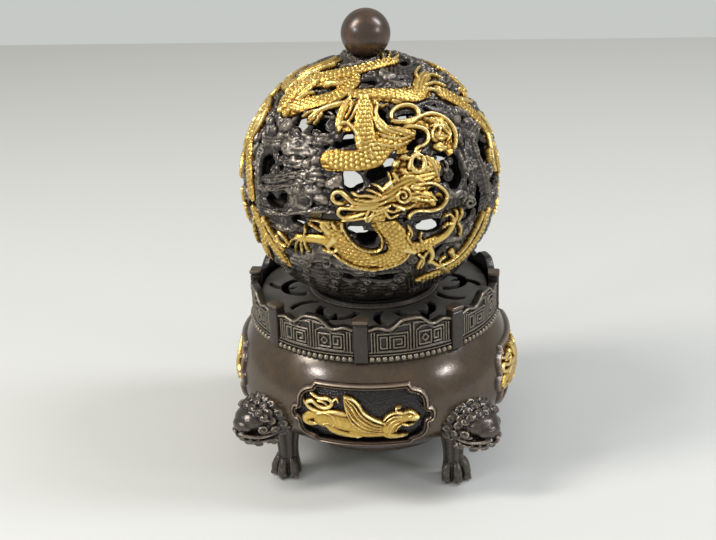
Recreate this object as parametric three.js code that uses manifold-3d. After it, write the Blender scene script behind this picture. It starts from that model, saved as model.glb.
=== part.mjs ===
// A tiered incense burner in bronze and gilt bronze. A squat bowl on four
// beast mask legs carries a fence of eight posts and eight panels. A pierced
// plate lies inside the fence, and an openwork ball of clouds and dragons
// stands on it. The ball parts at its equator and has a small ball on top.
//
// Millimetres, +Z up, origin on the floor under the middle of the bowl. The
// front cartouche faces -Y. Angles round the axis are in degrees from the
// front, growing towards +X.

import * as THREE from 'three';
import { mergeVertices } from 'three/addons/utils/BufferGeometryUtils.js';
import Module from 'manifold-3d';

const wasm = await Module();
wasm.setup();

// Steps round a turned piece: a multiple of eight, so that pieces set at any
// eighth of a turn line up with the bowl's flats
const roundSteps = 32;
const ballSteps = 30; // a multiple of the pattern's three turns

// General clearances
const gap = 0.3; // between pieces that touch
const seamGap = 0.4; // between the two halves of the ball

// Bowl: two half ellipses meet at the belly line
const bellyRadius = 66;
const bellyLineHeight = 42;
const bellyRise = 47; // semi height of the upper ellipse
const bellyDrop = 33; // semi height of the lower ellipse
const bowlBaseHeight = 12.5;
const shoulderHeight = 67;
const bowlWall = 3.2;
const bellySteps = 7;
const neckBevel = 0.8;
const bowlInnerSteps = 5;
const neckRadius = 53.2;
const neckWall = 3;
const neckHeight = 11; // from the shoulder to the rim

// Fence
const postCount = 8;
const postWidth = 6.2;
const postDepth = 5;
const postHeight = 21.6;
const postCapHeight = 1.6;
const postCapLip = 0.7;
const panelThickness = 3;
const panelGroove = 1.1; // how far a panel runs into each post
const panelRailHeight = 4.6;
const panelRailLip = 1.5;
const panelShoulder = 16.2; // height of the panel's top edge at its ends
const panelHump = 4.4; // how far the middle of the panel rises over that
const panelSmallHump = 1.1;
const panelHumpReach = 0.36; // share of the half panel that the middle hump takes
const panelSmallPlace = 0.74; // where the small humps stand, as a share of the half panel
const panelSmallReach = 0.5; // share of the half panel that a small hump takes
const panelPlaces = [0.24, 0.37, 0.5]; // shares of the half panel where its edge bends
const railEnd = 0.001; // radians in which the rail along a panel's foot stops

// Cartouches on the bowl
const cartoucheHalfWidth = 33;
const cartoucheHalfHeight = 15.4;
const cartoucheFlatHalf = 19.5;
const cartoucheHeight = 45; // height of its middle above the floor
const mouldingWidth = 2;
const mouldingRise = 2;
const beastBodyRise = 2.8; // how far the body of a gilt beast stands off the bowl
const beastWingRise = 4;
const beastHeadRise = 3.6;
const beastTailRise = 2.4;

// Legs
const maskStandOff = 1; // how far the middle of the mask stands out past the belly
const maskHeight = 35.5; // height of the middle of the mask
const maskWidth = 26;
const maskTall = 27;
const maskDeep = 24;
const footTuck = 10; // how far the foot stands in from the middle of the mask
const footRadius = 6.4;
const footHeight = 6;
const ankleRadius = 5;
const ankleHeight = 14;
const kneeSwell = 1.6; // how much wider the leg is where it enters the mask
const soleBevel = 0.8;
const toeSize = 5;
const toeSpread = 40; // degrees between two toes
const toeStretch = 1.2; // length of a toe as a share of its width
const fluteCount = 6;
const fluteShare = 0.87; // radius in a flute as a share of the radius between flutes
const kneeShare = 0.38; // how far the knee lies under the mask's middle, as a share of its height
const maneSpread = 110; // degrees that the curls of the mane take in
const maneReach = [0.47, 0.1, 0.45]; // place of the mane, as shares of the mask's size
const maneCurlSize = [0.4, 0.5, 0.3]; // size of a curl, as shares of the mask's size

// Cover plate
const plateThickness = 2;
const plateClearance = 0.6; // from the plate's edge to the posts
const plateMouth = 20; // radius of the hole under the ball
const plateLipDepth = 3.4;
const plateLipWall = 2;
const petalCount = 6;
const petalTurn = -22.5;
const petalRoot = 33.5; // where the petal's curve starts, from the axis
const petalLength = 9.2;
const petalHalfWidth = 9.2;
const petalSlot = 3.4;
const slimSlotWidth = 2.8;
const slimSlotInner = 32;
const slimSlotOuter = 44.5;

// Openwork ball
const ballRadius = 57;
const ballWall = 2.6;
const ballRingRadius = 30.3;
const ballRingHeight = 2.7;
const ballRingEdge = 1; // upright height of its rims
const ballRingMouth = 24.5;
const ballRingBevel = 1.4; // width of the ring's sloping shoulder outside the seat
const ballMouth = 26; // radius of the opening in the bottom of the ball
const lipHalfHeight = 3.5;
const lipWall = 1.5;
const lipBevel = 0.8;
const patternTurns = 3; // the ball's pattern comes three times round it
const dragonRise = 2.6; // how far a dragon stands off the shell
const cloudRise = 2.1; // how far the main clouds stand off the shell
const cloudRoot = 0.8; // how deep a cloud is rooted in the shell
const reliefStep = 10; // length of one facet along a dragon or a cloud
const crownShare = 0.55; // share of a cord's width that its flat crown takes
const wideHole = 9; // a hole wider than this has six sides, and a smaller one five
const plugReach = [0.85, 1.08]; // where the plug of a hole starts and ends, as shares of the ball's radius

// Small ball on top
const knobRadius = 10.9;
const knobSink = 1.6; // depth of its seat in the big ball
const studRadius = 2.4;
const studLength = 5.2;
const knobSeatReach = 18; // degrees from the crown that the knob's seat takes in
const nutRadius = 4.6;
const nutThickness = 2.2;

// Sizes that follow
const rimHeight = shoulderHeight + neckHeight;
const maskReach = bellyRadius + maskStandOff;
const footSpread = maskReach - footTuck;
const postInner = neckRadius + gap;
const panelInner = postInner + (postDepth - panelThickness) / 2;
const panelOuter = panelInner + panelThickness;
const plateRadius = postInner - plateClearance;
const plateBottom = rimHeight + gap;
const plateTop = plateBottom + plateThickness;
const ringBottom = plateTop + gap;
const ballTouch = ballRadius + gap;
const ringSeatOuter = ballRingRadius - ballRingBevel;
const ballCentre = ringBottom + ballRingHeight + Math.sqrt(ballTouch ** 2 - ringSeatOuter ** 2);
const knobCentre = ballCentre + ballRadius + knobRadius - knobSink;

// Materials
const materials = {
  bronze: { color: 0x4d3d35, roughness: 0.42, metalness: 0.9 },
  darkBronze: { color: 0x3b3330, roughness: 0.5, metalness: 0.85 },
  black: { color: 0x232221, roughness: 0.4, metalness: 0.7 },
  gilt: { color: 0xd2a944, roughness: 0.3, metalness: 1 },
  brown: { color: 0x5a4037, roughness: 0.25, metalness: 0.95 },
};

const burner = new THREE.Group();
burner.name = 'tiered_incense_burner';

// Adds one named piece to the burner.
function addPiece(name, solid, look) {
  const mesh = new THREE.Mesh(toGeometry(solid), new THREE.MeshStandardMaterial(materials[look]));
  mesh.name = name;
  burner.add(mesh);
}

// Turns a closed three.js geometry into a solid, with its faces outwards.
function toSolid(geometry) {
  const plain = geometry.index ? geometry.toNonIndexed() : geometry.clone();
  for (const name of Object.keys(plain.attributes)) {
    if (name !== 'position') plain.deleteAttribute(name);
  }
  const merged = mergeVertices(plain, 1e-4);
  const position = merged.attributes.position;
  const corner = (i) => new THREE.Vector3().fromBufferAttribute(position, i);
  const faces = [];
  let volume = 0;
  for (let i = 0; i < merged.index.count; i += 3) {
    const [a, b, c] = [0, 1, 2].map((k) => merged.index.getX(i + k));
    if (a === b || b === c || a === c) continue;
    faces.push([a, b, c]);
    volume += corner(a).dot(corner(b).cross(corner(c)));
  }
  const ordered = volume < 0 ? faces.map(([a, b, c]) => [a, c, b]) : faces;
  return new wasm.Manifold(new wasm.Mesh({
    numProp: 3,
    vertProperties: new Float32Array(position.array),
    triVerts: new Uint32Array(ordered.flat()),
  }));
}

// Turns a solid back into a three.js geometry.
function toGeometry(solid) {
  const mesh = solid.getMesh();
  const geometry = new THREE.BufferGeometry();
  geometry.setAttribute('position', new THREE.BufferAttribute(new Float32Array(mesh.vertProperties), 3));
  geometry.setIndex(new THREE.BufferAttribute(new Uint32Array(mesh.triVerts), 1));
  geometry.computeVertexNormals();
  return geometry;
}

// Joins a list of solids.
function union(solids) {
  return solids.reduce((sum, next) => sum.add(next));
}

// Turns a profile of [radius, height] pairs round the upright axis.
function revolve(profile, segments = roundSteps) {
  const points = profile.map(([r, z]) => new THREE.Vector2(r, z));
  const first = points[0];
  if (first.x > 0) points.push(first.clone());
  const geometry = new THREE.LatheGeometry(points, segments);
  geometry.rotateX(Math.PI / 2);
  return toSolid(geometry);
}

// Extrudes a flat outline upwards from height zFrom to zTo.
function prism(shape, zFrom, zTo, curveSegments = 8) {
  const options = { depth: zTo - zFrom, bevelEnabled: false, curveSegments };
  const geometry = new THREE.ExtrudeGeometry(shape, options);
  geometry.translate(0, 0, zFrom);
  return toSolid(geometry);
}

// A closed outline through a list of [x, y] points.
function outline(points) {
  return new THREE.Shape(points.map(([x, y]) => new THREE.Vector2(x, y)));
}

// Turns a solid's geometry about the upright axis, from the front to an angle.
function turned(geometry, degrees) {
  return geometry.clone().rotateZ(THREE.MathUtils.degToRad(degrees));
}

// Radius of the bowl's outer surface at a height, grown by an amount.
function bellyAt(z, grow = 0) {
  const away = z - bellyLineHeight;
  const semi = (away > 0 ? bellyRise : bellyDrop) + grow;
  return (bellyRadius + grow) * Math.sqrt(Math.max(0, 1 - (away / semi) ** 2));
}

// Profile of the bowl's curved wall between two heights, grown by an amount.
function bellyProfile(from, to, steps, grow = 0) {
  return Array.from({ length: steps + 1 }, (_, i) => {
    const z = from + ((to - from) * (1 - Math.cos((Math.PI * i) / steps))) / 2;
    return [bellyAt(z, grow), z];
  });
}

// A block of the bowl's outer form, grown by an amount, to cut neighbours by.
function bellyBlock(grow) {
  const low = bowlBaseHeight - grow;
  const profile = bellyProfile(low, shoulderHeight, bellySteps, grow);
  return revolve([[0, low], ...profile, [0, shoulderHeight]]);
}

// Bowl with an open mouth, a shoulder for the fence and an upright neck.
function makeBowl() {
  const innerShoulder = shoulderHeight - bowlWall;
  const inside = bellyProfile(bowlBaseHeight + bowlWall, innerShoulder - 2, bowlInnerSteps, -bowlWall);
  const neckInner = neckRadius - neckWall;
  return revolve([
    [0, bowlBaseHeight],
    ...bellyProfile(bowlBaseHeight, shoulderHeight, bellySteps),
    [neckRadius, shoulderHeight],
    [neckRadius, rimHeight - neckBevel],
    [neckRadius - neckBevel, rimHeight],
    [neckInner, rimHeight],
    [neckInner, innerShoulder],
    ...inside.reverse(),
    [0, bowlBaseHeight + bowlWall],
  ]);
}

// Post of the fence: grooved on both sides for the panels, with a flat cap.
function makePost(index) {
  const half = postWidth / 2;
  const slot = panelThickness / 2 + gap;
  const back = postInner;
  const front = postInner + postDepth;
  const middle = (back + front) / 2;
  const deep = half - panelGroove - gap;
  const plan = [
    [-half, -front], [half, -front], [half, -middle - slot], [deep, -middle - slot],
    [deep, -middle + slot], [half, -middle + slot], [half, -back], [-half, -back],
    [-half, -middle + slot], [-deep, -middle + slot], [-deep, -middle - slot], [-half, -middle - slot],
  ];
  const bottom = shoulderHeight + gap;
  const capBottom = shoulderHeight + postHeight - postCapHeight;
  const shaft = prism(outline(plan), bottom, capBottom + 0.1);
  const cap = new THREE.BoxGeometry(postWidth + 2 * postCapLip, postDepth + postCapLip, postCapHeight);
  cap.translate(0, -(middle + postCapLip / 2), capBottom + postCapHeight / 2);
  const post = toGeometry(shaft.add(toSolid(cap)));
  return toSolid(turned(post, (index * 360) / postCount));
}

// Height of a panel's top edge; place runs from -1 to 1 along the panel.
function panelTop(place) {
  const base = shoulderHeight + panelShoulder;
  const away = Math.abs(place);
  const centre = panelHump * Math.exp(-((away / panelHumpReach) ** 4));
  const side = panelSmallHump * Math.cos((Math.PI * (away - panelSmallPlace)) / panelSmallReach) ** 2;
  return base + Math.max(centre, away > panelSmallPlace - panelSmallReach / 2 ? side : 0);
}

// Curved panel of the fence, with its bracket shaped top edge and the rail
// along its foot. Its ends run into the grooves of the posts, and the rail
// stops in front of them.
function makePanel(index) {
  const pitch = Math.PI / postCount;
  const reach = pitch - (postWidth / 2 - panelGroove) / (panelInner + panelThickness / 2);
  const railReach = pitch - (postWidth / 2 + gap) / panelInner;
  const bottom = shoulderHeight + gap;
  const railTop = shoulderHeight + panelRailHeight;
  const half = [...panelPlaces, panelSmallPlace].map((place) => place * reach);
  const angles = [0, ...half, railReach, railReach + railEnd, reach];
  const section = (angle) => {
    const lip = Math.abs(angle) > railReach ? 0 : panelRailLip;
    const top = panelTop(angle / reach);
    return [
      [panelInner, bottom], [panelOuter + lip, bottom], [panelOuter + lip, railTop - lip],
      [panelOuter, railTop], [panelOuter, top], [panelInner, top],
    ];
  };
  const both = [...angles.slice(1).reverse().map((angle) => -angle), ...angles];
  return toSolid(turned(toGeometry(sector(both, section)), ((index + 0.5) * 360) / postCount));
}

// A solid that follows the circle through a row of angles. The section is a
// closed list of [radius, height] pairs and may change with the angle.
function sector(angles, section) {
  return loft(angles.map((angle) => section(angle).map(([r, z]) => (
    new THREE.Vector3(r * Math.sin(angle), -r * Math.cos(angle), z)
  ))));
}

// Skins a row of matching closed sections and closes both ends with fans.
function loft(rings) {
  const size = rings[0].length;
  const points = rings.flat();
  const faces = [];
  for (let i = 0; i + 1 < rings.length; i += 1) {
    for (let k = 0; k < size; k += 1) {
      const a = i * size + k;
      const b = i * size + ((k + 1) % size);
      faces.push([a, b, b + size], [a, b + size, a + size]);
    }
  }
  for (const [start, flip] of [[0, true], [(rings.length - 1) * size, false]]) {
    const flat = THREE.ShapeUtils.triangulateShape(flattened(rings[start / size]), []);
    for (const [a, b, c] of flat) {
      faces.push(flip ? [start + a, start + c, start + b] : [start + a, start + b, start + c]);
    }
  }
  const geometry = new THREE.BufferGeometry();
  const places = points.flatMap((p) => [p.x, p.y, p.z]);
  geometry.setAttribute('position', new THREE.Float32BufferAttribute(places, 3));
  geometry.setIndex(faces.flat());
  return toSolid(geometry);
}

// Lays a flat ring of points in its own plane, for closing an end.
function flattened(ring) {
  const normal = new THREE.Vector3();
  ring.forEach((p, i) => normal.add(p.clone().cross(ring[(i + 1) % ring.length])));
  normal.normalize();
  const across = ring[1].clone().sub(ring[0]).normalize();
  const up = normal.clone().cross(across);
  return ring.map((p) => new THREE.Vector2(p.dot(across), p.dot(up)));
}

// Barbed outline of a cartouche: flat top and foot, stepped lobes, pointed ends.
function cartoucheOutline(inset = 0) {
  const w = cartoucheHalfWidth - inset * 1.3;
  const h = cartoucheHalfHeight - inset;
  const f = cartoucheFlatHalf - inset * 0.5;
  const notch = [f + 1.6, h - 2.2];
  const lobe = [w - 4.2, 4.2];
  const shape = new THREE.Shape();
  shape.moveTo(-f, -h);
  shape.lineTo(f, -h);
  shape.lineTo(notch[0], -notch[1]);
  shape.quadraticCurveTo(lobe[0] - 1, -h + 3.4, lobe[0], -lobe[1]);
  shape.quadraticCurveTo(w - 1, -3, w, 0);
  shape.quadraticCurveTo(w - 1, 3, lobe[0], lobe[1]);
  shape.quadraticCurveTo(lobe[0] - 1, h - 3.4, notch[0], notch[1]);
  shape.lineTo(f, h);
  shape.lineTo(-f, h);
  shape.lineTo(-notch[0], notch[1]);
  shape.quadraticCurveTo(-lobe[0] + 1, h - 3.4, -lobe[0], lobe[1]);
  shape.quadraticCurveTo(-w + 1, 3, -w, 0);
  shape.quadraticCurveTo(-w + 1, -3, -lobe[0], -lobe[1]);
  shape.quadraticCurveTo(-lobe[0] + 1, -h + 3.4, -notch[0], -notch[1]);
  shape.closePath();
  return shape;
}

// Stands a flat outline up against the bowl and keeps the skin between two
// offsets of the bowl's surface.
function skinOnBelly(shape, from, to, curveSegments) {
  const depth = bellyRadius + to + 5;
  const geometry = new THREE.ExtrudeGeometry(shape, { depth, bevelEnabled: false, curveSegments });
  geometry.rotateX(Math.PI / 2);
  geometry.translate(0, 0, cartoucheHeight);
  return toSolid(geometry).intersect(bellyBlock(to)).subtract(bellyBlock(from));
}

// Raised moulding round a cartouche.
function makeMoulding() {
  const shape = cartoucheOutline();
  shape.holes.push(new THREE.Path(cartoucheOutline(mouldingWidth).getPoints(2)));
  return skinOnBelly(shape, gap, mouldingRise, 2);
}

// Gilt winged beast of a cartouche, lying down and facing right: body with a
// raised wing, head and paws, and an S curled tail. Sideways and upwards from
// the middle of the cartouche.
const beastBody = [
  [25.6, 1.2], [24, 4.4], [17, 4.8], [14, 1], [9, 0.6], [3.5, 3.6], [0.5, 9.6], [-5.6, 11.6],
  [-8.2, 0.6], [-17, -1], [-24, -4.6], [-23, -7.6], [-15, -6.6], [-10, -8.8], [-6, -11.2], [0.5, -11.8],
  [8, -9.6], [13, -11.8], [19.2, -11.4], [16.6, -8], [18.6, -5.2], [25.2, -3],
];
const beastWing = [
  [-6.6, 10.4], [-4.8, 10.8], [-0.8, 8.6], [3, 2.4], [8.4, -1.6], [8.2, -5.8], [4, -8], [-0.6, -5.4],
  [-5, 2.4],
];
const beastHead = [
  [10.4, -6.4], [14, -0.6], [17.4, 3], [22.4, 3.2], [24.4, 0], [23, -2.6], [17.4, -4.4], [13, -8],
];
const beastTail = [
  [-11, -2], [-18, -0.6], [-22.2, 0.6], [-22.6, 3.2], [-19.6, 3.8], [-15.2, 2.8], [-13, 4.8], [-15.2, 7],
  [-19, 6.6], [-20.6, 8.2],
];

function makeBeast() {
  return union([
    skinOnBelly(outline(beastBody), gap, beastBodyRise, 1),
    skinOnBelly(outline(beastWing), gap, beastWingRise, 1),
    skinOnBelly(outline(beastHead), gap, beastHeadRise, 1),
    skinOnBelly(ribbon(beastTail, 1.4, 0.8, 9), gap, beastTailRise, 1),
  ]);
}

// Outline of a band that follows a flat route and narrows from end to end.
function ribbon(route, startHalf, endHalf, steps) {
  const curve = new THREE.SplineCurve(route.map(([x, y]) => new THREE.Vector2(x, y)));
  const left = [];
  const right = [];
  for (let i = 0; i <= steps; i += 1) {
    const point = curve.getPoint(i / steps);
    const along = curve.getTangent(i / steps);
    const half = startHalf + ((endHalf - startHalf) * i) / steps;
    const side = new THREE.Vector2(-along.y, along.x).multiplyScalar(half);
    left.push(point.clone().add(side));
    right.unshift(point.clone().sub(side));
  }
  return new THREE.Shape([...left, ...right]);
}

// Lumps of a beast mask: size and place as shares of its width, depth and
// height, and the number of sides.
const maskLumps = [
  { size: [1, 1, 1], at: [0, 0, 0], sides: 8 }, // skull
  { size: [0.58, 0.7, 0.5], at: [0, 0.36, -0.05], sides: 6 }, // snout
  { size: [0.8, 0.7, 0.26], at: [0, 0.08, -0.42], sides: 6 }, // jaw
  { size: [0.66, 0.44, 0.2], at: [0, 0.28, 0.25], sides: 6 }, // brow
];
const maneCurls = 3;

// Squashed ball of a leg, sideways, outwards and up from the floor's middle.
function lump([w, d, h], [x, out, z], sides) {
  const geometry = new THREE.SphereGeometry(0.5, sides, Math.ceil(sides * 0.6));
  geometry.scale(w, d, h);
  geometry.translate(x, -out, z);
  return toSolid(geometry);
}

// Leg: a paw, a fluted shaft, and a beast mask that bites the bowl's flank
// under a mane of curls.
function makeLeg() {
  const knee = maskHeight - maskTall * kneeShare;
  const sections = [[0, footRadius - soleBevel], [soleBevel, footRadius],
    [footHeight, footRadius - soleBevel], [ankleHeight, ankleRadius], [knee, ankleRadius + kneeSwell]];
  const shaft = loft(sections.map(([z, r]) => Array.from({ length: fluteCount * 2 }, (_, k) => {
    const angle = (Math.PI * k) / fluteCount;
    const radius = r * (k % 2 ? fluteShare : 1);
    return new THREE.Vector3(radius * Math.cos(angle), -footSpread + radius * Math.sin(angle), z);
  })));
  const mask = [maskWidth, maskDeep, maskTall];
  const onMask = (share) => [
    share[0] * maskWidth, maskReach + share[1] * maskDeep, maskHeight + share[2] * maskTall,
  ];
  const pieces = [shaft];
  for (const { size, at, sides } of maskLumps) {
    pieces.push(lump(size.map((share, i) => share * mask[i]), onMask(at), sides));
  }
  for (let i = 0; i < maneCurls; i += 1) {
    const lean = THREE.MathUtils.degToRad(((i - (maneCurls - 1) / 2) * maneSpread) / (maneCurls - 1));
    const [across, out, up] = maneReach;
    const curl = onMask([across * Math.sin(lean), out, up * Math.cos(lean)]);
    pieces.push(lump(maneCurlSize.map((share, k) => share * mask[k]), curl, 5));
  }
  for (const side of [-1, 0, 1]) {
    const turn = THREE.MathUtils.degToRad(side * toeSpread);
    const toe = [footRadius * Math.sin(turn), footSpread + footRadius * Math.cos(turn), toeSize / 2 + 0.1];
    pieces.push(lump([toeSize, toeSize * toeStretch, toeSize], toe, 5));
  }
  return union(pieces).subtract(bellyBlock(gap));
}

// Pierced plate that lies on the rim inside the fence.
function makePlate() {
  const shape = new THREE.Shape();
  shape.absarc(0, 0, plateRadius, 0, 2 * Math.PI);
  const mouth = new THREE.Path();
  mouth.absarc(0, 0, plateMouth, 0, 2 * Math.PI, true);
  shape.holes.push(mouth);
  const step = (2 * Math.PI) / petalCount;
  for (let i = 0; i < petalCount; i += 1) {
    const turn = THREE.MathUtils.degToRad(petalTurn) + i * step;
    shape.holes.push(petalHole(turn), slimHole(turn + step / 2));
  }
  const disc = prism(shape, plateBottom, plateTop, roundSteps / 2);
  const lipOuter = neckRadius - neckWall - gap;
  const lip = revolve([
    [lipOuter - plateLipWall, plateBottom + 0.1],
    [lipOuter - plateLipWall, rimHeight - plateLipDepth],
    [lipOuter, rimHeight - plateLipDepth],
    [lipOuter, plateBottom + 0.1],
  ]);
  return disc.add(lip);
}

// Maps a place on the plate, outwards and sideways, to x and y.
function onPlate(out, side, turn) {
  return new THREE.Vector2(
    side * Math.cos(turn) + out * Math.sin(turn),
    side * Math.sin(turn) - out * Math.cos(turn),
  );
}

// Crescent slot round the tip of a petal.
function petalHole(turn) {
  const steps = 4;
  const arc = (length, half, i) => {
    const angle = (Math.PI * i) / steps;
    return onPlate(petalRoot + length * Math.sin(angle), half * Math.cos(angle), turn);
  };
  const outer = [];
  const inner = [];
  for (let i = 0; i <= steps; i += 1) {
    outer.push(arc(petalLength, petalHalfWidth, i));
    inner.unshift(arc(petalLength - petalSlot, petalHalfWidth - petalSlot, i));
  }
  return new THREE.Path([...outer, ...inner]);
}

// Straight slot between two petals, with round ends.
function slimHole(turn) {
  const half = slimSlotWidth / 2;
  const points = [];
  for (const [centre, from] of [[slimSlotOuter - half, 0], [slimSlotInner + half, Math.PI]]) {
    for (let i = 0; i <= 3; i += 1) {
      const angle = from + (Math.PI * i) / 3;
      points.push(onPlate(centre + half * Math.sin(angle), half * Math.cos(angle), turn));
    }
  }
  return new THREE.Path(points);
}

// Ring foot that the openwork ball sits in.
function makeBallRing() {
  const seat = (r) => ballCentre - Math.sqrt(ballTouch ** 2 - r * r);
  return revolve([
    [ballRingMouth, ringBottom],
    [ballRingRadius, ringBottom],
    [ballRingRadius, ringBottom + ballRingEdge],
    [ringSeatOuter, seat(ringSeatOuter)],
    [ballMouth + 1, seat(ballMouth + 1)],
    [ballRingMouth, ringBottom + ballRingEdge],
  ]);
}

// A point on a sphere about the ball's centre; longitude from the front.
function onBall(lon, lat, radius) {
  const a = THREE.MathUtils.degToRad(lon);
  const b = THREE.MathUtils.degToRad(lat);
  return new THREE.Vector3(
    radius * Math.cos(b) * Math.sin(a),
    -radius * Math.cos(b) * Math.cos(a),
    ballCentre + radius * Math.sin(b),
  );
}

// Holes between the clouds in one third of the ball: longitude and latitude of
// the middle, width and height in mm, and tilt in degrees.
const upperHoles = [
  [-46, 15, 7, 10, 0], [-35, 7, 12, 6, 0], [-27, 34, 7, 7, 20], [14, 42, 6, 8, 20],
  [32, 42, 10, 5, 0], [49, 45, 13, 7, 20], [13.5, 23, 12, 8, 10], [45, 18, 15, 12, 30],
  [-1.5, 16.6, 10, 9.4, 0], [-2.5, 34.5, 9, 8, 0], [-15, 44, 14, 8, 20], [-29, 58, 12, 6, 20],
  [8, 60, 10, 6, 0],
];
const lowerHoles = [
  [0, -7, 8, 7, 0], [29, -7, 13, 6.4, 0], [-20, -11, 12, 8, 0], [-38, -16, 9, 10, 0],
  [41, -20, 13, 6, 0], [54, -9, 11, 7, 0], [13, -31, 12, 7, 0],
];

// Plug that pierces the wall of the ball, straight towards its centre.
function holePlug([lon, lat, wide, high, tilt], turn) {
  const sides = Math.max(wide, high) > wideHole ? 6 : 5;
  const lean = THREE.MathUtils.degToRad(tilt);
  const outwards = onBall(lon + turn, lat, 1).sub(onBall(0, 0, 0));
  const across = new THREE.Vector3(-outwards.y, outwards.x, 0).normalize();
  const up = outwards.clone().cross(across);
  const section = (radius) => Array.from({ length: sides }, (_, k) => {
    const angle = (2 * Math.PI * k) / sides;
    const x = (Math.cos(angle) * wide) / 2 / ballRadius;
    const y = (Math.sin(angle) * high) / 2 / ballRadius;
    const point = outwards.clone();
    point.addScaledVector(across, x * Math.cos(lean) - y * Math.sin(lean));
    point.addScaledVector(up, x * Math.sin(lean) + y * Math.cos(lean));
    return point.multiplyScalar(radius).add(new THREE.Vector3(0, 0, ballCentre));
  });
  return loft(plugReach.map((share) => section(ballRadius * share)));
}

// Profile points on a sphere about the ball's centre, between two latitudes.
function ballArc(radius, from, to, steps) {
  return Array.from({ length: steps + 1 }, (_, i) => {
    const lat = THREE.MathUtils.degToRad(from + ((to - from) * i) / steps);
    return [Math.max(0, radius * Math.cos(lat)), ballCentre + radius * Math.sin(lat)];
  });
}

// Half of the ball's shell between two latitudes, with its clouds, pierced by
// its holes.
function piercedShell(latFrom, latTo, holes, clouds) {
  const inner = ballRadius - ballWall;
  const profile = [...ballArc(ballRadius, latFrom, latTo, 6), ...ballArc(inner, latTo, latFrom, 4)];
  let shell = revolve(profile, ballSteps).add(clouds);
  for (let i = 0; i < patternTurns; i += 1) {
    for (const hole of holes) {
      shell = shell.subtract(holePlug(hole, (i * 360) / patternTurns));
    }
  }
  return shell;
}

// Latitude at which the shell's outer surface reaches a radius.
function latitudeOf(radius) {
  return THREE.MathUtils.radToDeg(Math.acos(radius / ballRadius));
}

const seamAngle = THREE.MathUtils.radToDeg(seamGap / 2 / ballRadius);

function makeUpperShell() {
  return piercedShell(seamAngle, latitudeOf(studRadius + gap), upperHoles, makeClouds(upperClouds));
}

function makeLowerShell() {
  return piercedShell(-seamAngle, -latitudeOf(ballMouth), lowerHoles, makeClouds(lowerClouds));
}

// Lip inside the lower half that centres the upper half.
function makeSeamLip() {
  const inner = ballRadius - ballWall;
  const outer = Math.sqrt(inner ** 2 - lipHalfHeight ** 2) - gap - 0.1;
  return revolve([
    [outer - lipWall, ballCentre - lipHalfHeight],
    [outer, ballCentre - lipHalfHeight],
    [outer, ballCentre + lipHalfHeight - lipBevel],
    [outer - lipBevel, ballCentre + lipHalfHeight],
    [outer - lipWall, ballCentre + lipHalfHeight],
  ], ballSteps);
}

// Small ball with the stud that runs through the crown of the shell.
function makeKnob() {
  const geometry = new THREE.SphereGeometry(knobRadius, 14, 9);
  geometry.rotateX(Math.PI / 2);
  geometry.translate(0, 0, knobCentre);
  const seat = revolve([[0, ballCentre], ...ballArc(ballTouch, 90 - knobSeatReach, 90, 3)], 16);
  const bottom = ballCentre + ballRadius - ballWall - studLength;
  const stud = revolve([
    [0, bottom], [studRadius - 0.4, bottom], [studRadius, bottom + 0.4],
    [studRadius, knobCentre], [0, knobCentre],
  ], 12);
  return toSolid(geometry).subtract(seat).add(stud);
}

// Hexagonal nut on the stud, inside the ball.
function makeNut() {
  const inner = ballRadius - ballWall;
  const top = ballCentre + inner * Math.cos(nutRadius / inner) - 2 * gap;
  const shape = outline(Array.from({ length: 6 }, (_, k) => {
    const angle = (Math.PI * k) / 3;
    return [nutRadius * Math.cos(angle), nutRadius * Math.sin(angle)];
  }));
  const bore = new THREE.Path();
  bore.absarc(0, 0, studRadius + gap, 0, 2 * Math.PI, true);
  shape.holes.push(bore);
  return prism(shape, top - nutThickness, top, 6);
}

// Gilt dragons, as cords of relief that ride on the ball. Each route is a list
// of longitude and latitude, with the half width in mm at its start and end. A
// cord marked first comes on the first turn of the pattern only, and one marked
// later on the other turns only.
const upperDragons = {
  mane_dragon: [
    { route: [[-12, 11], [-6, 5.6], [3, 4.2], [12, 5.6], [19, 9]], start: 1.6, end: 3.6 },
    { route: [[18, 7], [22, 13], [28, 13.4], [35, 9.6]], start: 4.2, end: 3.4 },
    { route: [[35, 9], [38.9, 5.3], [33, 3.4], [24, 3.6]], start: 2.6, end: 1.4 },
    { route: [[28, 13], [27, 19], [31, 23], [36, 18]], start: 2, end: 1.6 },
  ],
  rising_dragon: [
    { route: [[-15, 23.6], [-4.5, 28.4], [7.6, 26.7], [10.8, 33], [12, 42], [9.3, 51], [18.6, 55],
      [34, 54], [43.3, 47.6], [46.6, 38.4]], start: 3, end: 4 },
    { route: [[44, 40], [38, 35], [34, 29.6], [28.4, 27.4]], start: 3.2, end: 1.6 },
    { route: [[24, 54], [34, 61], [38, 67]], start: 3, end: 1.4 },
    { route: [[10, 34], [22, 34], [32, 37]], start: 2.2, end: 1.8 },
  ],
  arched_dragon: [
    { route: [[-66, 4.4], [-67, 16], [-64, 29], [-58, 40], [-52, 50]], start: 3.4, end: 3.4, on: 'first' },
    { route: [[-58, 44], [-50, 54], [-36, 64], [-14, 69], [6, 71.5]], start: 3.6, end: 2.4, on: 'first' },
    { route: [[-48, 54], [-38, 48], [-26, 48], [-14, 53], [-8, 61], [-14, 68]], start: 2.6, end: 2.2,
      on: 'first' },
    { route: [[-54, 48], [-45, 40], [-37, 29], [-31, 16], [-29, 3]], start: 3.4, end: 2.8, on: 'later' },
  ],
};
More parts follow.
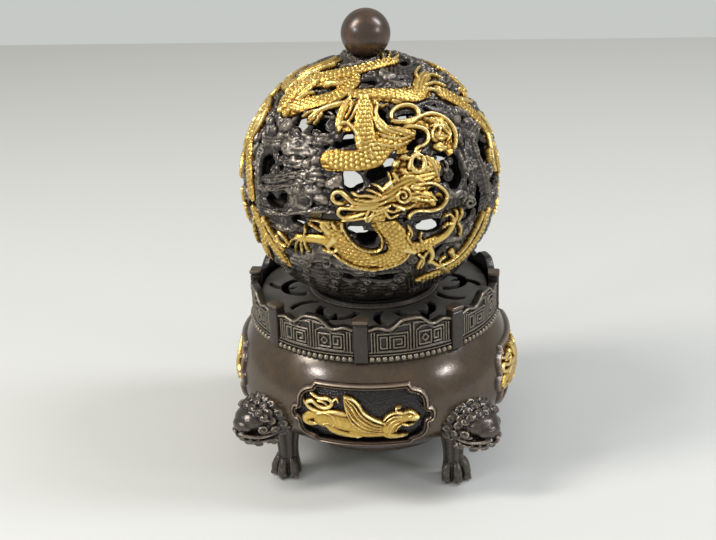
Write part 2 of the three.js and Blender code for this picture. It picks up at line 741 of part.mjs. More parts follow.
const lowerDragons = {
  coiled_dragon: [
    { route: [[9, -3.4], [13.7, -10.3], [13.5, -18], [6, -21], [-1.1, -16.1], [-6, -10.4], [-10.6, -4.6]],
      start: 3.2, end: 3.2 },
    { route: [[13, -13], [21, -15], [29.1, -15], [35.9, -11.6], [41.5, -7.4], [45, -4]],
      start: 2.6, end: 1.8 },
    { route: [[-8, -8], [-16, -10], [-23.2, -8.6], [-30, -6]], start: 2.4, end: 1.8 },
  ],
  banded_dragon: [
    { route: [[76.8, -9.3], [73.5, -19.7], [63.2, -28.2], [48.8, -33.2], [32.3, -36.1]], start: 3, end: 2.2 },
    { route: [[50, -32], [43, -28.6], [46.5, -22.2]], start: 2, end: 1.6 },
  ],
};

// Main clouds in one third of the ball, each a bundle that swells to its head.
const upperClouds = [
  { route: [[-51, 10], [-38, 14], [-24, 19]], start: 3, end: 2 },
  { route: [[-39, 25], [-24, 28]], start: 1.6, end: 2.6 },
  { route: [[-18, 15.4], [-10, 15.4]], start: 2.4, end: 3.4 },
  { route: [[56, 30], [54.6, 10]], start: 3, end: 2 },
  { route: [[33, 19], [42, 19]], start: 2, end: 3 },
  { route: [[60, 46], [82, 45]], start: 2.4, end: 3 },
];
const lowerClouds = [
  { route: [[-35, -24], [-23, -19], [-12, -17]], start: 3.8, end: 2.6 },
  { route: [[-8, -27], [6, -29], [20, -27]], start: 2.8, end: 2 },
  { route: [[54, -15], [63, -11]], start: 3, end: 2 },
  { route: [[-40, -44], [-10, -42], [20, -44]], start: 2.8, end: 1.8 },
];

// Section of a cord of relief between two distances from the ball's centre, as
// pairs of a share of its half width and a distance.
function cordSection(low, high, crown = crownShare) {
  return [[-1, low], [-crown, high], [crown, high], [1, low]];
}

// One cord of relief over the ball. Grow widens it and pushes both ends out.
function reliefCord({ route, start, end }, turn, section, grow = 0) {
  const curve = new THREE.CatmullRomCurve3(route.map(([lon, lat]) => onBall(lon + turn, lat, ballRadius)));
  const steps = Math.max(2, Math.ceil(curve.getLength() / reliefStep));
  const centre = onBall(0, 0, 0);
  const rings = Array.from({ length: steps + 1 }, (_, i) => {
    const t = i / steps;
    const past = grow * ((i === steps) - (i === 0));
    const blunt = i === 0 || i === steps ? 0.6 : 1;
    const along = curve.getTangentAt(t);
    const out = curve.getPointAt(t).sub(centre).addScaledVector(along, past).normalize();
    const side = along.clone().cross(out).normalize();
    const half = (start + (end - start) * t) * blunt + grow;
    return section.map(([share, radius]) => (
      out.clone().multiplyScalar(radius).addScaledVector(side, share * half).add(centre)
    ));
  });
  return loft(rings);
}

// The cords of a dragon that one turn of the pattern has.
function cordsAt(cords, index) {
  return cords.filter(({ on }) => !on || (on === 'first') === (index === 0));
}

// A dragon joined from its cords, for one turn of the pattern.
function makeDragon(cords, index) {
  const turn = (index * 360) / patternTurns;
  const section = cordSection(ballTouch, ballTouch + dragonRise);
  return union(cordsAt(cords, index).map((cord) => reliefCord(cord, turn, section)));
}

// The clouds of half the ball, cut back where a gilt dragon lies over them.
function makeClouds(clouds) {
  const grow = 2 * gap;
  const low = ballRadius - cloudRoot;
  const cloudSection = cordSection(low, ballRadius + cloudRise);
  const roomSection = cordSection(low - cloudRoot, ballTouch + dragonRise + grow, 1);
  const dragons = Object.values({ ...upperDragons, ...lowerDragons });
  const cords = [];
  const room = [];
  for (let i = 0; i < patternTurns; i += 1) {
    const turn = (i * 360) / patternTurns;
    for (const cloud of clouds) {
      cords.push(reliefCord(cloud, turn, cloudSection));
    }
    for (const cord of dragons.flatMap((dragon) => cordsAt(dragon, i))) {
      room.push(reliefCord(cord, turn, roomSection, grow));
    }
  }
  return union(cords).subtract(union(room));
}

const quarterNames = ['front', 'right', 'back', 'left'];
const cornerNames = ['front_right', 'back_right', 'back_left', 'front_left'];

addPiece('bowl', makeBowl(), 'bronze');

const leg = toGeometry(makeLeg());
const moulding = toGeometry(makeMoulding());
const beast = toGeometry(makeBeast());
quarterNames.forEach((name, i) => {
  addPiece(`leg_${cornerNames[i]}`, toSolid(turned(leg, 45 + 90 * i)), 'darkBronze');
  addPiece(`cartouche_frame_${name}`, toSolid(turned(moulding, 90 * i)), 'bronze');
  addPiece(`gilt_beast_${name}`, toSolid(turned(beast, 90 * i)), 'gilt');
});

for (let i = 0; i < postCount; i += 1) {
  addPiece(`fence_post_${i + 1}`, makePost(i), 'bronze');
  addPiece(`fence_panel_${i + 1}`, makePanel(i), 'darkBronze');
}

addPiece('cover_plate', makePlate(), 'black');
addPiece('ball_foot_ring', makeBallRing(), 'black');
addPiece('ball_lower_shell', makeLowerShell(), 'darkBronze');
addPiece('ball_seam_lip', makeSeamLip(), 'darkBronze');
addPiece('ball_upper_shell', makeUpperShell(), 'darkBronze');
addPiece('knob_ball', makeKnob(), 'brown');
addPiece('knob_nut', makeNut(), 'bronze');

for (let i = 0; i < patternTurns; i += 1) {
  for (const [name, cords] of Object.entries({ ...upperDragons, ...lowerDragons })) {
    addPiece(`gilt_${name}_${i + 1}`, makeDragon(cords, i), 'gilt');
  }
}

export default burner;
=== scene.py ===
# %% [markdown]
# A tiered incense burner in bronze and gilt bronze, dressed over its packed
# solids: a bowl on four beast legs, a fret fence, a pierced plate and an
# openwork ball of clouds and dragons. Nearly every piece is cast relief, so
# nearly every piece is made one way: a grid of two parameters, a height over
# it, and an outline that the grid is cut along. One cutter then serves the
# ball, the plate, the fence, the cartouches and the gilt.

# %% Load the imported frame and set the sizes
import math
import bpy
import numpy as np
from mathutils import Matrix, Vector


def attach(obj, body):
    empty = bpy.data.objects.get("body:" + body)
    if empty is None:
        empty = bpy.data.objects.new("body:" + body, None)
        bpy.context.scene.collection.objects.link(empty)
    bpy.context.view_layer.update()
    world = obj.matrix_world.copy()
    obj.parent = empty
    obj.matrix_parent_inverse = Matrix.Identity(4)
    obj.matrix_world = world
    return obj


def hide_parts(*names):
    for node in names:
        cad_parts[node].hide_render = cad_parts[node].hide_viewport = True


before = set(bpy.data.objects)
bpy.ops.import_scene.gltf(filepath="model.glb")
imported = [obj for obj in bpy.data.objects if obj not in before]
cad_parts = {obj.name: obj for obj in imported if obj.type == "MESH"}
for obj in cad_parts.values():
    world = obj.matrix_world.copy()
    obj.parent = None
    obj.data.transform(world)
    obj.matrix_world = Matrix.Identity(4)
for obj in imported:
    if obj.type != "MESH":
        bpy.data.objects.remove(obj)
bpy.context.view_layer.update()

MM = 0.001  # the script counts in millimetres, and meshes are made in metres
BELLY_R, BELLY_Z, BELLY_RISE, BELLY_DROP = 66.0, 42.0, 47.0, 33.0
BASE_Z, SHOULDER_Z, BOWL_WALL = 12.5, 67.0, 3.2
NECK_R, NECK_WALL, RIM_Z = 53.2, 3.0, 78.0
POSTS, POST_W, POST_D = 8, 6.2, 5.0
PANEL_IN, PANEL_OUT = 54.5, 57.5
PLATE_LOW, PLATE_TOP, PLATE_R, PLATE_MOUTH = 78.3, 80.3, 52.9, 20.0
BALL_R, BALL_WALL, RING_R, RING_LOW, RING_H = 57.0, 2.6, 30.3, 80.6, 2.7
BALL_Z = RING_LOW + RING_H + math.sqrt((BALL_R + 0.3) ** 2 - (RING_R - 1.4) ** 2)
BALL_MOUTH, KNOB_R = 26.0, 10.9
KNOB_Z = BALL_Z + BALL_R + KNOB_R - 1.6
CART_W, CART_H, CART_FLAT, CART_Z = 32.6, 15.4, 21.0, 44.0
print("frame loaded,", len(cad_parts), "nodes, ball centre at", round(BALL_Z, 2))

# %% [markdown]
# ## The cutter
# A founder carves relief in wax and pierces it before casting. Here the wax is
# a flat grid of points. Each point has a height, and a number that says how far
# it lies inside the outline. Triangles that the outline crosses are cut exactly
# along it, the face is copied to a back surface, and a wall joins the two, so
# each piece is closed however many holes it has.

# %% Cut a grid along an outline
def cut_grid(step, inside):
    """Triangles of a grid, cut where inside passes zero. Returns the two grid
    points of each point, how it is mixed from them, the faces and the rim edges."""
    rows, cols = inside.shape
    d = inside.ravel().copy()
    near = np.abs(d) < 0.15 * step
    d[near] = np.where(d[near] < 0, -0.15, 0.15) * step
    ids = np.arange(rows * cols).reshape(rows, cols)
    a, b, c, e = ids[:-1, :-1], ids[:-1, 1:], ids[1:, 1:], ids[1:, :-1]
    odd = (np.add.outer(np.arange(rows - 1), np.arange(cols - 1)) % 2).astype(bool)
    one = np.where(odd[..., None], np.stack([a, b, c], -1), np.stack([a, b, e], -1))
    two = np.where(odd[..., None], np.stack([a, c, e], -1), np.stack([b, c, e], -1))
    tris = np.concatenate([one.reshape(-1, 3), two.reshape(-1, 3)])
    sign = d[tris] > 0
    count = sign.sum(1)
    whole = tris[count == 3]
    def spun(rows_of, lone):
        """Turns each triangle so that its lone corner comes first."""
        k = np.argmax(sign[rows_of] == lone, axis=1)
        return np.take_along_axis(tris[rows_of], (k[:, None] + np.arange(3)) % 3, 1)
    tip = spun(count == 1, True)
    cut = spun(count == 2, False)
    ends = np.concatenate([tip[:, [0, 1]], tip[:, [0, 2]], cut[:, [0, 1]], cut[:, [0, 2]]])
    ends = np.sort(ends, axis=1)
    pairs, place = np.unique(ends, axis=0, return_inverse=True)
    place = place.ravel() + len(d)
    n, m = len(tip), len(cut)
    p1, p2, q1, q2 = place[:n], place[n:2 * n], place[2 * n:2 * n + m], place[2 * n + m:]
    faces = np.concatenate([
        whole,
        np.stack([tip[:, 0], p1, p2], 1),
        np.stack([cut[:, 1], cut[:, 2], q2], 1),
        np.stack([cut[:, 1], q2, q1], 1),
    ])
    rim = np.concatenate([np.stack([p1, p2], 1), np.stack([q2, q1], 1)])
    lo, hi = pairs[:, 0], pairs[:, 1]
    share = d[lo] / (d[lo] - d[hi])
    first = np.concatenate([np.arange(len(d)), lo])
    second = np.concatenate([np.arange(len(d)), hi])
    mix = np.concatenate([np.zeros(len(d)), share])
    used, packed = np.unique(faces, return_inverse=True)
    back = np.full(len(first), -1)
    back[used] = np.arange(len(used))
    return first[used], second[used], mix[used], packed.reshape(-1, 3), back[rim]


half = np.array([[1.0, 1.0, -1.0]] * 3)
print("cutter: a grid of 9 points, cut along one side, leaves", len(cut_grid(1.0, half)[3]), "triangles")

# %% Make a mesh from arrays
def new_mesh(name, points, faces, marks=None, sharp=40.0):
    """A mesh object in metres from points in mm. Marks are numbers per point
    that the materials read, and edges above the sharp angle stay crisp."""
    mesh = bpy.data.meshes.new(name)
    faces = [np.asarray(f) for f in faces if len(f)]
    sizes = np.concatenate([np.full(len(f), f.shape[1]) for f in faces])
    flat = np.concatenate([f.ravel() for f in faces])
    mesh.vertices.add(len(points))
    mesh.vertices.foreach_set("co", (np.asarray(points) * MM).astype(np.float32).ravel())
    mesh.loops.add(len(flat))
    mesh.loops.foreach_set("vertex_index", flat.astype(np.int32))
    mesh.polygons.add(len(sizes))
    starts = np.concatenate([[0], np.cumsum(sizes)[:-1]])
    mesh.polygons.foreach_set("loop_start", starts.astype(np.int32))
    mesh.update(calc_edges=True)
    mesh.validate()
    mesh.shade_smooth()
    mesh.set_sharp_from_angle(angle=math.radians(sharp))
    for key, values in (marks or {}).items():
        layer = mesh.attributes.new(key, "FLOAT", "POINT")
        layer.data.foreach_set("value", np.asarray(values, np.float32))
    piece = bpy.data.objects.new(name, mesh)
    bpy.context.scene.collection.objects.link(piece)
    return piece


print("meshes are made in metres, from points in units of", MM, "m")

# %% Give the cut sheet its height, its back and its marks
def spread(field, reach):
    """Mean of a field over squares of 2 reach + 1 points, by running sums."""
    for axis in (0, 1):
        field = np.concatenate([field.take([0] * (reach + 1), axis), field,
                                field.take([-1] * reach, axis)], axis)
        total = np.cumsum(field, axis)
        width = 2 * reach + 1
        field = (total.take(range(width, total.shape[axis]), axis)
                 - total.take(range(total.shape[axis] - width), axis)) / width
    return field


def sheet(name, x, y, inside, height, front, behind, low=0.0, high=2.0, sharp=40.0):
    """Closed relief: front(x, y, height) is the face and behind(x, y) the back.
    The mark named relief is near 0 in the hollows and near 1 on the crests: half
    comes from the height and half from how far a point stands over the mean of
    its surroundings, 1 mm to each side."""
    step = abs(x[0, 1] - x[0, 0])
    proud = height - spread(height, max(1, round(1.0 / step)))
    a, b, mix, faces, rim = cut_grid(step, inside)
    blend = lambda f: f.ravel()[a] * (1 - mix) + f.ravel()[b] * mix
    px, py, ph = blend(x), blend(y), blend(height)
    top = front(px, py, ph)
    bottom = behind(px, py)
    n = len(px)
    wall = np.stack([rim[:, 1], rim[:, 0], rim[:, 0] + n, rim[:, 1] + n], 1)
    # the relief mark, which the finishes turn into painted shade in the hollows and painted highlight on
    # the crests, over the real patina and wear; the back takes a fifth of it
    grade = np.clip(0.5 * (ph - low) / (high - low) + 0.25 + 1.1 * blend(proud), 0, 1)
    marks = {"relief": np.concatenate([grade, grade * 0.2])}
    points = np.concatenate([top, bottom])
    return new_mesh(name, points, [faces, faces[:, ::-1] + n, wall], marks, sharp)


def grid(x0, x1, y0, y1, step):
    """Grid of x and y, with one step of margin all round."""
    xs = np.arange(x0 - step, x1 + 1.5 * step, step)
    ys = np.arange(y0 - step, y1 + 1.5 * step, step)
    return np.meshgrid(xs, ys)


print("closed sheets ready, a margined grid of 2 by 1 mm has", grid(0, 2, 0, 1, 0.5)[0].size, "points")

# %% [markdown]
# ## Strokes
# Relief is drawn with strokes, as a chaser draws with a tool: a smooth route, a
# half width at each end, a height and a kind of crown. A stroke knows how far
# every point is from its route and how far along it lies, so scales, knobs
# and streaks follow the bends by themselves.

# %% Read tables of strokes
def read_rows(text):
    """Rows of numbers, split by commas."""
    return [tuple(map(float, row.split())) for row in text.split(",")]


def read_strokes(table):
    """Strokes from a table. A line has a kind, the half width at both ends and the
    height, and after the colon the places of a route; a bar starts the next route
    of the same stroke. A line that begins with spaces goes on from the last."""
    out = []
    for line in table.replace("\n ", " ").split("\n"):
        head, _, routes = line.partition(":")
        kind, *sizes = head.split()
        out += [(kind, *map(float, sizes), read_rows(route)) for route in routes.split("|")]
    return out


print("for instance:", read_strokes("rib 1 0.5 2: 0 0, 4 3 | 1 1, 2 2"))

# %% Measure points against a stroke's route
def smooth_route(points, step=1.0):
    """Catmull-Rom curve through points, at about one point per step."""
    p = np.asarray(points, float)
    p = np.concatenate([[2 * p[0] - p[1]], p, [2 * p[-1] - p[-2]]])
    out = []
    for i in range(1, len(p) - 2):
        n = max(2, int(np.linalg.norm(p[i + 1] - p[i]) / step))
        t = np.linspace(0, 1, n, endpoint=False)[:, None]
        a, b, c, e = p[i - 1], p[i], p[i + 1], p[i + 2]
        out.append(0.5 * (2 * b + (c - a) * t + (2 * a - 5 * b + 4 * c - e) * t ** 2
                          + (3 * b - a - 3 * c + e) * t ** 3))
    return np.concatenate(out + [p[-2:-1]])


def measure(points, route, reach, up):
    """Nearest place of a route to each point: which points are within reach,
    their distance, signed side, place along in mm, and share of the length."""
    middle = route.mean(0)
    far = np.linalg.norm(route - middle, axis=1).max() + reach
    near = np.flatnonzero(((points - middle) ** 2).sum(1) < far ** 2)
    if not len(near):
        return near, *([np.zeros(0)] * 4)
    a, ab = route[:-1], np.diff(route, axis=0)
    size2 = (ab ** 2).sum(1)
    length = np.sqrt(size2)
    start = np.concatenate([[0], np.cumsum(length)[:-1]])
    p = points[near]
    best = np.full(len(p), 1e9)
    which = np.zeros(len(p), int)
    share = np.zeros(len(p))
    for i in range(len(a)):
        t = np.clip((p - a[i]) @ ab[i] / size2[i], 0, 1)
        gap2 = ((p - a[i] - t[:, None] * ab[i]) ** 2).sum(1)
        closer = gap2 < best
        best[closer], which[closer], share[closer] = gap2[closer], i, t[closer]
    side = np.cross(ab[which], up[near] if up.ndim == 2 else up)
    off = ((p - a[which]) * side).sum(1) / np.linalg.norm(side, axis=1)
    along = start[which] + share * length[which]
    return near, np.sqrt(best), off, along, along / length.sum()


print("a bend through 3 places:", len(smooth_route([(0, 0, 0), (6, 4, 0), (12, 0, 0)])), "points")

# %% Crowns of the strokes, and all strokes together
def crown(kind, u, off, along, lift):
    """Height over the ground of a stroke at u, its distance from the route as a
    share of the half width."""
    dome = np.sqrt(np.clip(1 - u ** 2, 0, 1))
    if kind == "ground":
        return 0.45 + lift * np.cos(0.9 * along + 0.5 * off) * np.cos(1.3 * off - 0.4 * along)
    if kind == "streaks":
        return 0.3 + lift * dome * (0.74 + 0.26 * np.cos(3 * np.pi * u))
    if kind == "lock":
        return 0.35 + (lift - 0.35) * dome ** 0.5 * (0.84 + 0.16 * np.cos(2 * np.pi * off / 1.7))
    if kind == "lobe":
        return 0.3 + lift * (1 - u ** 4) ** 0.5
    if kind == "plume":
        barb = 0.86 + 0.14 * np.cos(2 * np.pi * off / 0.85)
        return 0.3 + (lift - 0.3) * (0.55 + 0.45 * dome) * barb
    if kind in ("scales", "knobs"):
        pitch = 1.9 if kind == "scales" else 2.1
        row = np.floor(along / pitch)
        cell = (off / pitch + 0.5 * (row % 2)) % 1 - 0.5
        part = along / pitch % 1
        if kind == "knobs":
            bump = 1 - np.clip(3.2 * (cell ** 2 + (part - 0.5) ** 2) / 0.5, 0, 1)
        else:
            bump = (1 - part) * (1 - (2 * cell) ** 2)
        return 0.35 + (lift - 0.35) * (1 - u ** 4) ** 0.5 * (0.68 + 0.5 * bump)
    return 0.35 + (lift - 0.35) * dome


def draw(points, up, strokes, route_of):
    """Height and inside distance of all strokes together. The ground strokes
    come back apart, because the openings cut them and nothing else."""
    height = np.zeros(len(points))
    ground = np.full(len(points), -9.0)
    inside = np.full(len(points), -9.0)
    for kind, start, end, lift, places in strokes:
        route = route_of(places)
        near, gap, off, along, share = measure(points, route, max(start, end) + 1, up)
        half = start + (end - start) * share
        if kind not in ("ground", "bulge"):
            left = np.minimum(along, along / np.maximum(share, 1e-3) - along)
            half = half * np.clip(0.5 + 0.5 * left / (1.2 * half), 0.5, 1)
        d = half - gap
        target = ground if kind == "ground" else inside
        target[near] = np.maximum(target[near], d)
        on = d > -0.3
        u = np.clip(gap[on] / half[on], 0, 1)
        rise = crown(kind, u, off[on], along[on], lift)
        at = near[on]
        height[at] = np.maximum(height[at], rise)
    return height, ground, inside


print("crown of a rib in its middle:", crown("rib", 0.0, 0.0, 0.0, 2.0), "mm")

# %% [markdown]
# ## Finishes
# All of it is bronze, so the finishes differ by what was done to the skin. The
# patina is a thin, partly glassy layer over metal: dark, warm, a little
# lighter where hands have rubbed the high places. The gilding is bright on the
# crests and brown in the hollows, where mercury gilding was never burnished.
# The mark named relief, which the cutter leaves on every piece, drives both,
# and with it the finishes also paint light: painted shade in the hollows and
# painted highlight on the crests.

# %% Add nodes, and make a finish from a few numbers
def linear(hex_colour):
    """Linear rgb of an sRGB colour written as rrggbb."""
    v = np.array([int(hex_colour[i:i + 2], 16) for i in (0, 2, 4)]) / 255
    return tuple(np.where(v <= 0.04045, v / 12.92, ((v + 0.055) / 1.055) ** 2.4)) + (1.0,)


def add_node(tree, kind, inputs=(), **settings):
    """Adds a node, sets its options, then its sockets by values or by links."""
    node = tree.nodes.new(kind)
    for key, value in settings.items():
        setattr(node, key, value)
    for key, value in dict(inputs).items():
        if isinstance(value, bpy.types.NodeSocket):
            tree.links.new(value, node.inputs[key])
        else:
            node.inputs[key].default_value = value
    return node


def ramp(tree, factor, stops):
    """Colour ramp between (place, hex colour) stops."""
    node = add_node(tree, "ShaderNodeValToRGB", {"Fac": factor})
    for i, (place, colour) in enumerate(stops):
        if i < 2:
            stop = node.color_ramp.elements[i]
            stop.position = place
        else:
            stop = node.color_ramp.elements.new(place)
        stop.color = linear(colour)
    return node.outputs["Color"]


def finish_of(name, stops, metallic, rough, grain, patches):
    """Cast metal. Stops are colours over the mark named relief, grain is (size in mm,
    depth in mm) of the casting skin, patches (size in mm, hex colour, share)."""
    material = bpy.data.materials.new(name)
    material.use_nodes = True
    tree = material.node_tree
    tree.nodes.clear()
    place = add_node(tree, "ShaderNodeTexCoord").outputs["Object"]
    mark = add_node(tree, "ShaderNodeAttribute", attribute_name="relief").outputs["Fac"]
    cloudy = add_node(tree, "ShaderNodeTexNoise", {
        "Vector": place, "Scale": 1000 / patches[0], "Detail": 5.0, "Roughness": 0.6})
    fine = add_node(tree, "ShaderNodeTexNoise", {
        "Vector": place, "Scale": 1000 / grain[0], "Detail": 3.0, "Roughness": 0.6})
    shifted = add_node(tree, "ShaderNodeMath", {0: fine.outputs["Fac"], 1: 0.5, 2: mark},
                       operation="MULTIPLY_ADD")
    level = add_node(tree, "ShaderNodeMath", {0: shifted.outputs[0], 1: 0.25},
                     operation="SUBTRACT")
    base = ramp(tree, level.outputs[0], stops)
    share = add_node(tree, "ShaderNodeMapRange", {
        "Value": cloudy.outputs["Fac"], "From Min": 0.45, "From Max": 0.7, "To Max": patches[2]})
    colour = add_node(tree, "ShaderNodeMix", {
        0: share.outputs["Result"], 6: base, 7: linear(patches[1])}, data_type="RGBA")
    roughness = add_node(tree, "ShaderNodeMapRange", {
        "Value": cloudy.outputs["Fac"], "From Min": 0.3, "From Max": 0.7,
        "To Min": rough[0], "To Max": rough[1]})
    bump = add_node(tree, "ShaderNodeBump", {
        "Height": fine.outputs["Fac"], "Strength": 1.0, "Distance": grain[1] * MM})
    shader = add_node(tree, "ShaderNodeBsdfPrincipled", {
        "Base Color": colour.outputs[2], "Roughness": roughness.outputs["Result"],
        "Normal": bump.outputs["Normal"], "Metallic": metallic, "Specular IOR Level": 0.9})
    add_node(tree, "ShaderNodeOutputMaterial", {"Surface": shader.outputs["BSDF"]})
    return material


print("a gold crest in linear rgb:", np.round(linear("eed898")[:3], 3))

# %% Mix the finishes
# dark patinated bronze of the clouds: brown grey crests, partly painted highlight, and near black
# hollows, partly painted shade over the patina
cloud_bronze = finish_of(
    "dark_cloud_bronze", [(0.0, "0a0908"), (0.35, "27231f"), (0.7, "48413a"), (1.0, "8a8174")],
    0.45, (0.22, 0.36), (0.9, 0.10), (9.0, "3a2c25", 0.45))
# fire gilding over bronze: brown hollows, partly unburnished gilding and partly painted shade, rich
# yellow, and pale crests, partly rubbed gilding and partly painted highlight
gilding = finish_of(
    "fire_gilding", [(0.0, "2c1906"), (0.2, "7a551c"), (0.42, "c09a48"), (0.7, "d8b75e"),
                     (1.0, "eed898")],
    0.85, (0.28, 0.4), (0.7, 0.14), (6.0, "a07a38", 0.4))
# brown patinated bronze of the bowl and posts
brown_bronze = finish_of(
    "brown_bronze", [(0.0, "161210"), (0.5, "2c2520"), (1.0, "655646")],
    0.45, (0.28, 0.4), (1.6, 0.05), (14.0, "3a3028", 0.6))
# the fence panels: darker, with brown on the ridges of the fret, partly rubbed wear and partly painted
# highlight, and painted shade in the hollows
fret_bronze = finish_of(
    "fret_bronze", [(0.0, "100f0d"), (0.5, "322f2b"), (0.85, "524c43"), (1.0, "8a7f6b")],
    0.45, (0.28, 0.4), (0.9, 0.06), (10.0, "4a3f33", 0.45))
# the cover plate: smooth dark grey satin sheet
black_plate = finish_of(
    "black_plate", [(0.0, "302d2a"), (0.6, "56534d"), (1.0, "67635b")],
    0.3, (0.42, 0.52), (1.2, 0.03), (16.0, "33302d", 0.5))
# the small ball: polished brown bronze with redder patches
knob_bronze = finish_of(
    "knob_bronze", [(0.0, "2c231d"), (0.6, "40342b"), (1.0, "574738")],
    0.35, (0.24, 0.34), (1.5, 0.02), (7.0, "6b4a34", 0.55))
# the ring foot: the same bronze, with a painted highlight along its outer bead
ring_bronze = finish_of(
    "turned_ring_bronze", [(0.0, "171514"), (0.5, "35302c"), (1.0, "8a7f74")],
    0.45, (0.28, 0.38), (1.2, 0.02), (12.0, "3a332c", 0.4))
# the cartouche mouldings: the bowl's bronze, pale on the two ridges, partly rubbed wear and partly
# painted highlight, with painted shade between them
frame_bronze = finish_of(
    "moulding_bronze", [(0.0, "1f1917"), (0.35, "4a3c35"), (0.75, "6f6055"), (1.0, "9a8a74")],
    0.5, (0.28, 0.38), (1.2, 0.04), (9.0, "6a5238", 0.4))
# the legs: cast like the fence, dark with brown on the high curls, partly wear and partly painted
# highlight, and painted shade in the hollows
leg_bronze = finish_of(
    "mask_bronze", [(0.0, "0b0a09"), (0.4, "2e2824"), (0.7, "524a42"), (1.0, "968b7b")],
    0.45, (0.18, 0.3), (1.0, 0.05), (8.0, "4a3d34", 0.4))
print("finishes so far:", len(bpy.data.materials))

# %% Punch a ground
def punch(material, mark, hex_colour, size, depth):
    """Darkens a finish where a mark is 1 and covers it with punched dots."""
    tree = material.node_tree
    shader = next(n for n in tree.nodes if n.bl_idname == "ShaderNodeBsdfPrincipled")
    colour = shader.inputs["Base Color"].links[0].from_socket
    normal = shader.inputs["Normal"].links[0].from_socket
    share = add_node(tree, "ShaderNodeAttribute", attribute_name=mark).outputs["Fac"]
    place = add_node(tree, "ShaderNodeTexCoord").outputs["Object"]
    dots = add_node(tree, "ShaderNodeTexVoronoi", {"Vector": place, "Scale": 1000 / size})
    dark = add_node(tree, "ShaderNodeMix", {0: share, 6: colour, 7: linear(hex_colour)},
                    data_type="RGBA")
    pits = add_node(tree, "ShaderNodeMath", {0: dots.outputs["Distance"], 1: share},
                    operation="MULTIPLY")
    bump = add_node(tree, "ShaderNodeBump", {
        "Height": pits.outputs[0], "Strength": 1.0, "Distance": depth * MM, "Normal": normal})
    tree.links.new(dark.outputs[2], shader.inputs["Base Color"])
    tree.links.new(bump.outputs["Normal"], shader.inputs["Normal"])


# the bowl: smooth brown patina, with the cartouche grounds punched and darker
bowl_bronze = finish_of(
    "bowl_bronze", [(0.0, "2b231c"), (0.5, "483c2f"), (1.0, "625341")],
    0.4, (0.17, 0.27), (1.4, 0.03), (11.0, "5e4a34", 0.6))
punch(bowl_bronze, "ground", "1d1719", 0.9, 0.25)
print("finishes:", len(bpy.data.materials))


# %% Dress a piece, and turn copies of it
def dress(piece, body, slot, *materials, nodes=()):
    """Gives a piece its finish, and the body and CAD nodes that it stands for."""
    for material in materials:
        piece.data.materials.append(material)
    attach(piece, body)
    if nodes:
        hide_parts(*nodes)
    return piece


def turned_copy(piece, name, degrees):
    """Copy of a piece turned round the upright axis, baked into its mesh."""
    mesh = piece.data.copy()
    mesh.transform(Matrix.Rotation(math.radians(degrees), 4, "Z"))
    mesh.name = name
    copy = bpy.data.objects.new(name, mesh)
    bpy.context.scene.collection.objects.link(copy)
    return copy


def dress_round(piece, step, names, nodes, body, slot, material):
    """Dresses a piece as the first of a row, and turned copies of it as the rest."""
    for i, (name, node) in enumerate(zip(names, nodes)):
        copy = piece if i == 0 else turned_copy(piece, name, step * i)
        dress(copy, body, slot, material, nodes=[node])


print("nodes to dress:", len(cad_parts))


# %% [markdown]
# ## The bowl
# The bowl is cast over a turned core and smoothed afterwards, so it is a
# profile carried round the axis. Its four cartouche fields were pressed back a
# little into the wax and punched with a round tool. The distance to the barbed
# outline says where, both for the depth and for the darker punched finish.

# %% Turn a profile
def turned_piece(name, profile, segments=240, push=None, marks=None, sharp=35.0):
    """A profile of (radius, height) rows carried round the upright axis. push and
    marks are functions of the angle, radius and height. A row at radius 0 is one
    point, and a profile that never meets the axis closes on itself."""
    r, z = np.array(profile, float).T
    angle = np.arange(segments) * 2 * np.pi / segments
    a, r2 = np.meshgrid(angle, r, indexing="ij")
    z2 = np.broadcast_to(z, a.shape)
    out = r2 + (push(a, r2, z2) if push else 0)
    points = np.stack([out * np.sin(a), -out * np.cos(a), z2], -1)
    ids = np.arange(a.size).reshape(a.shape)
    for k in np.flatnonzero(r < 1e-6):
        ids[:, k] = ids[0, k]
    if r[0] > 1e-6:
        ids = np.concatenate([ids, ids[:, :1]], 1)
    side = np.roll(ids, -1, axis=0)
    quads = np.stack([ids[:, :-1], side[:, :-1], side[:, 1:], ids[:, 1:]], -1).reshape(-1, 4)
    low_pole = quads[:, 0] == quads[:, 1]
    top_pole = quads[:, 2] == quads[:, 3]
    whole = quads[~low_pole & ~top_pole]
    fans = [quads[low_pole][:, [0, 2, 3]], quads[top_pole][:, [0, 1, 2]]]
    values = {key: np.broadcast_to(f(a, r2, z2), a.shape).ravel() for key, f in (marks or {}).items()}
    used, packed = np.unique(np.concatenate([whole.ravel()] + [f.ravel() for f in fans]),
                             return_inverse=True)
    cuts = np.cumsum([whole.size, fans[0].size])
    parts = np.split(packed, cuts)
    return new_mesh(name, points.reshape(-1, 3)[used],
                    [parts[0].reshape(-1, 4), parts[1].reshape(-1, 3), parts[2].reshape(-1, 3)],
                    {key: v[used] for key, v in values.items()}, sharp)


print("the bowl takes 512 steps a turn,", round(2 * np.pi * BELLY_R / 512, 2), "mm each at the belly")

# %% Measure the distance to an outline
def depth_inside(x, y, outline):
    """Distance in mm from each point to a closed outline, positive inside it."""
    near = np.full(x.shape, 1e9)
    inside = np.zeros(x.shape, bool)
    for (x0, y0), (x1, y1) in zip(outline, np.roll(outline, -1, axis=0)):
        dx, dy = x1 - x0, y1 - y0
        t = np.clip(((x - x0) * dx + (y - y0) * dy) / (dx * dx + dy * dy), 0, 1)
        near = np.minimum(near, (x - x0 - t * dx) ** 2 + (y - y0 - t * dy) ** 2)
        if y0 != y1:
            inside ^= ((y0 > y) != (y1 > y)) & (x < x0 + (y - y0) * dx / dy)
    return np.where(inside, 1, -1) * np.sqrt(near)


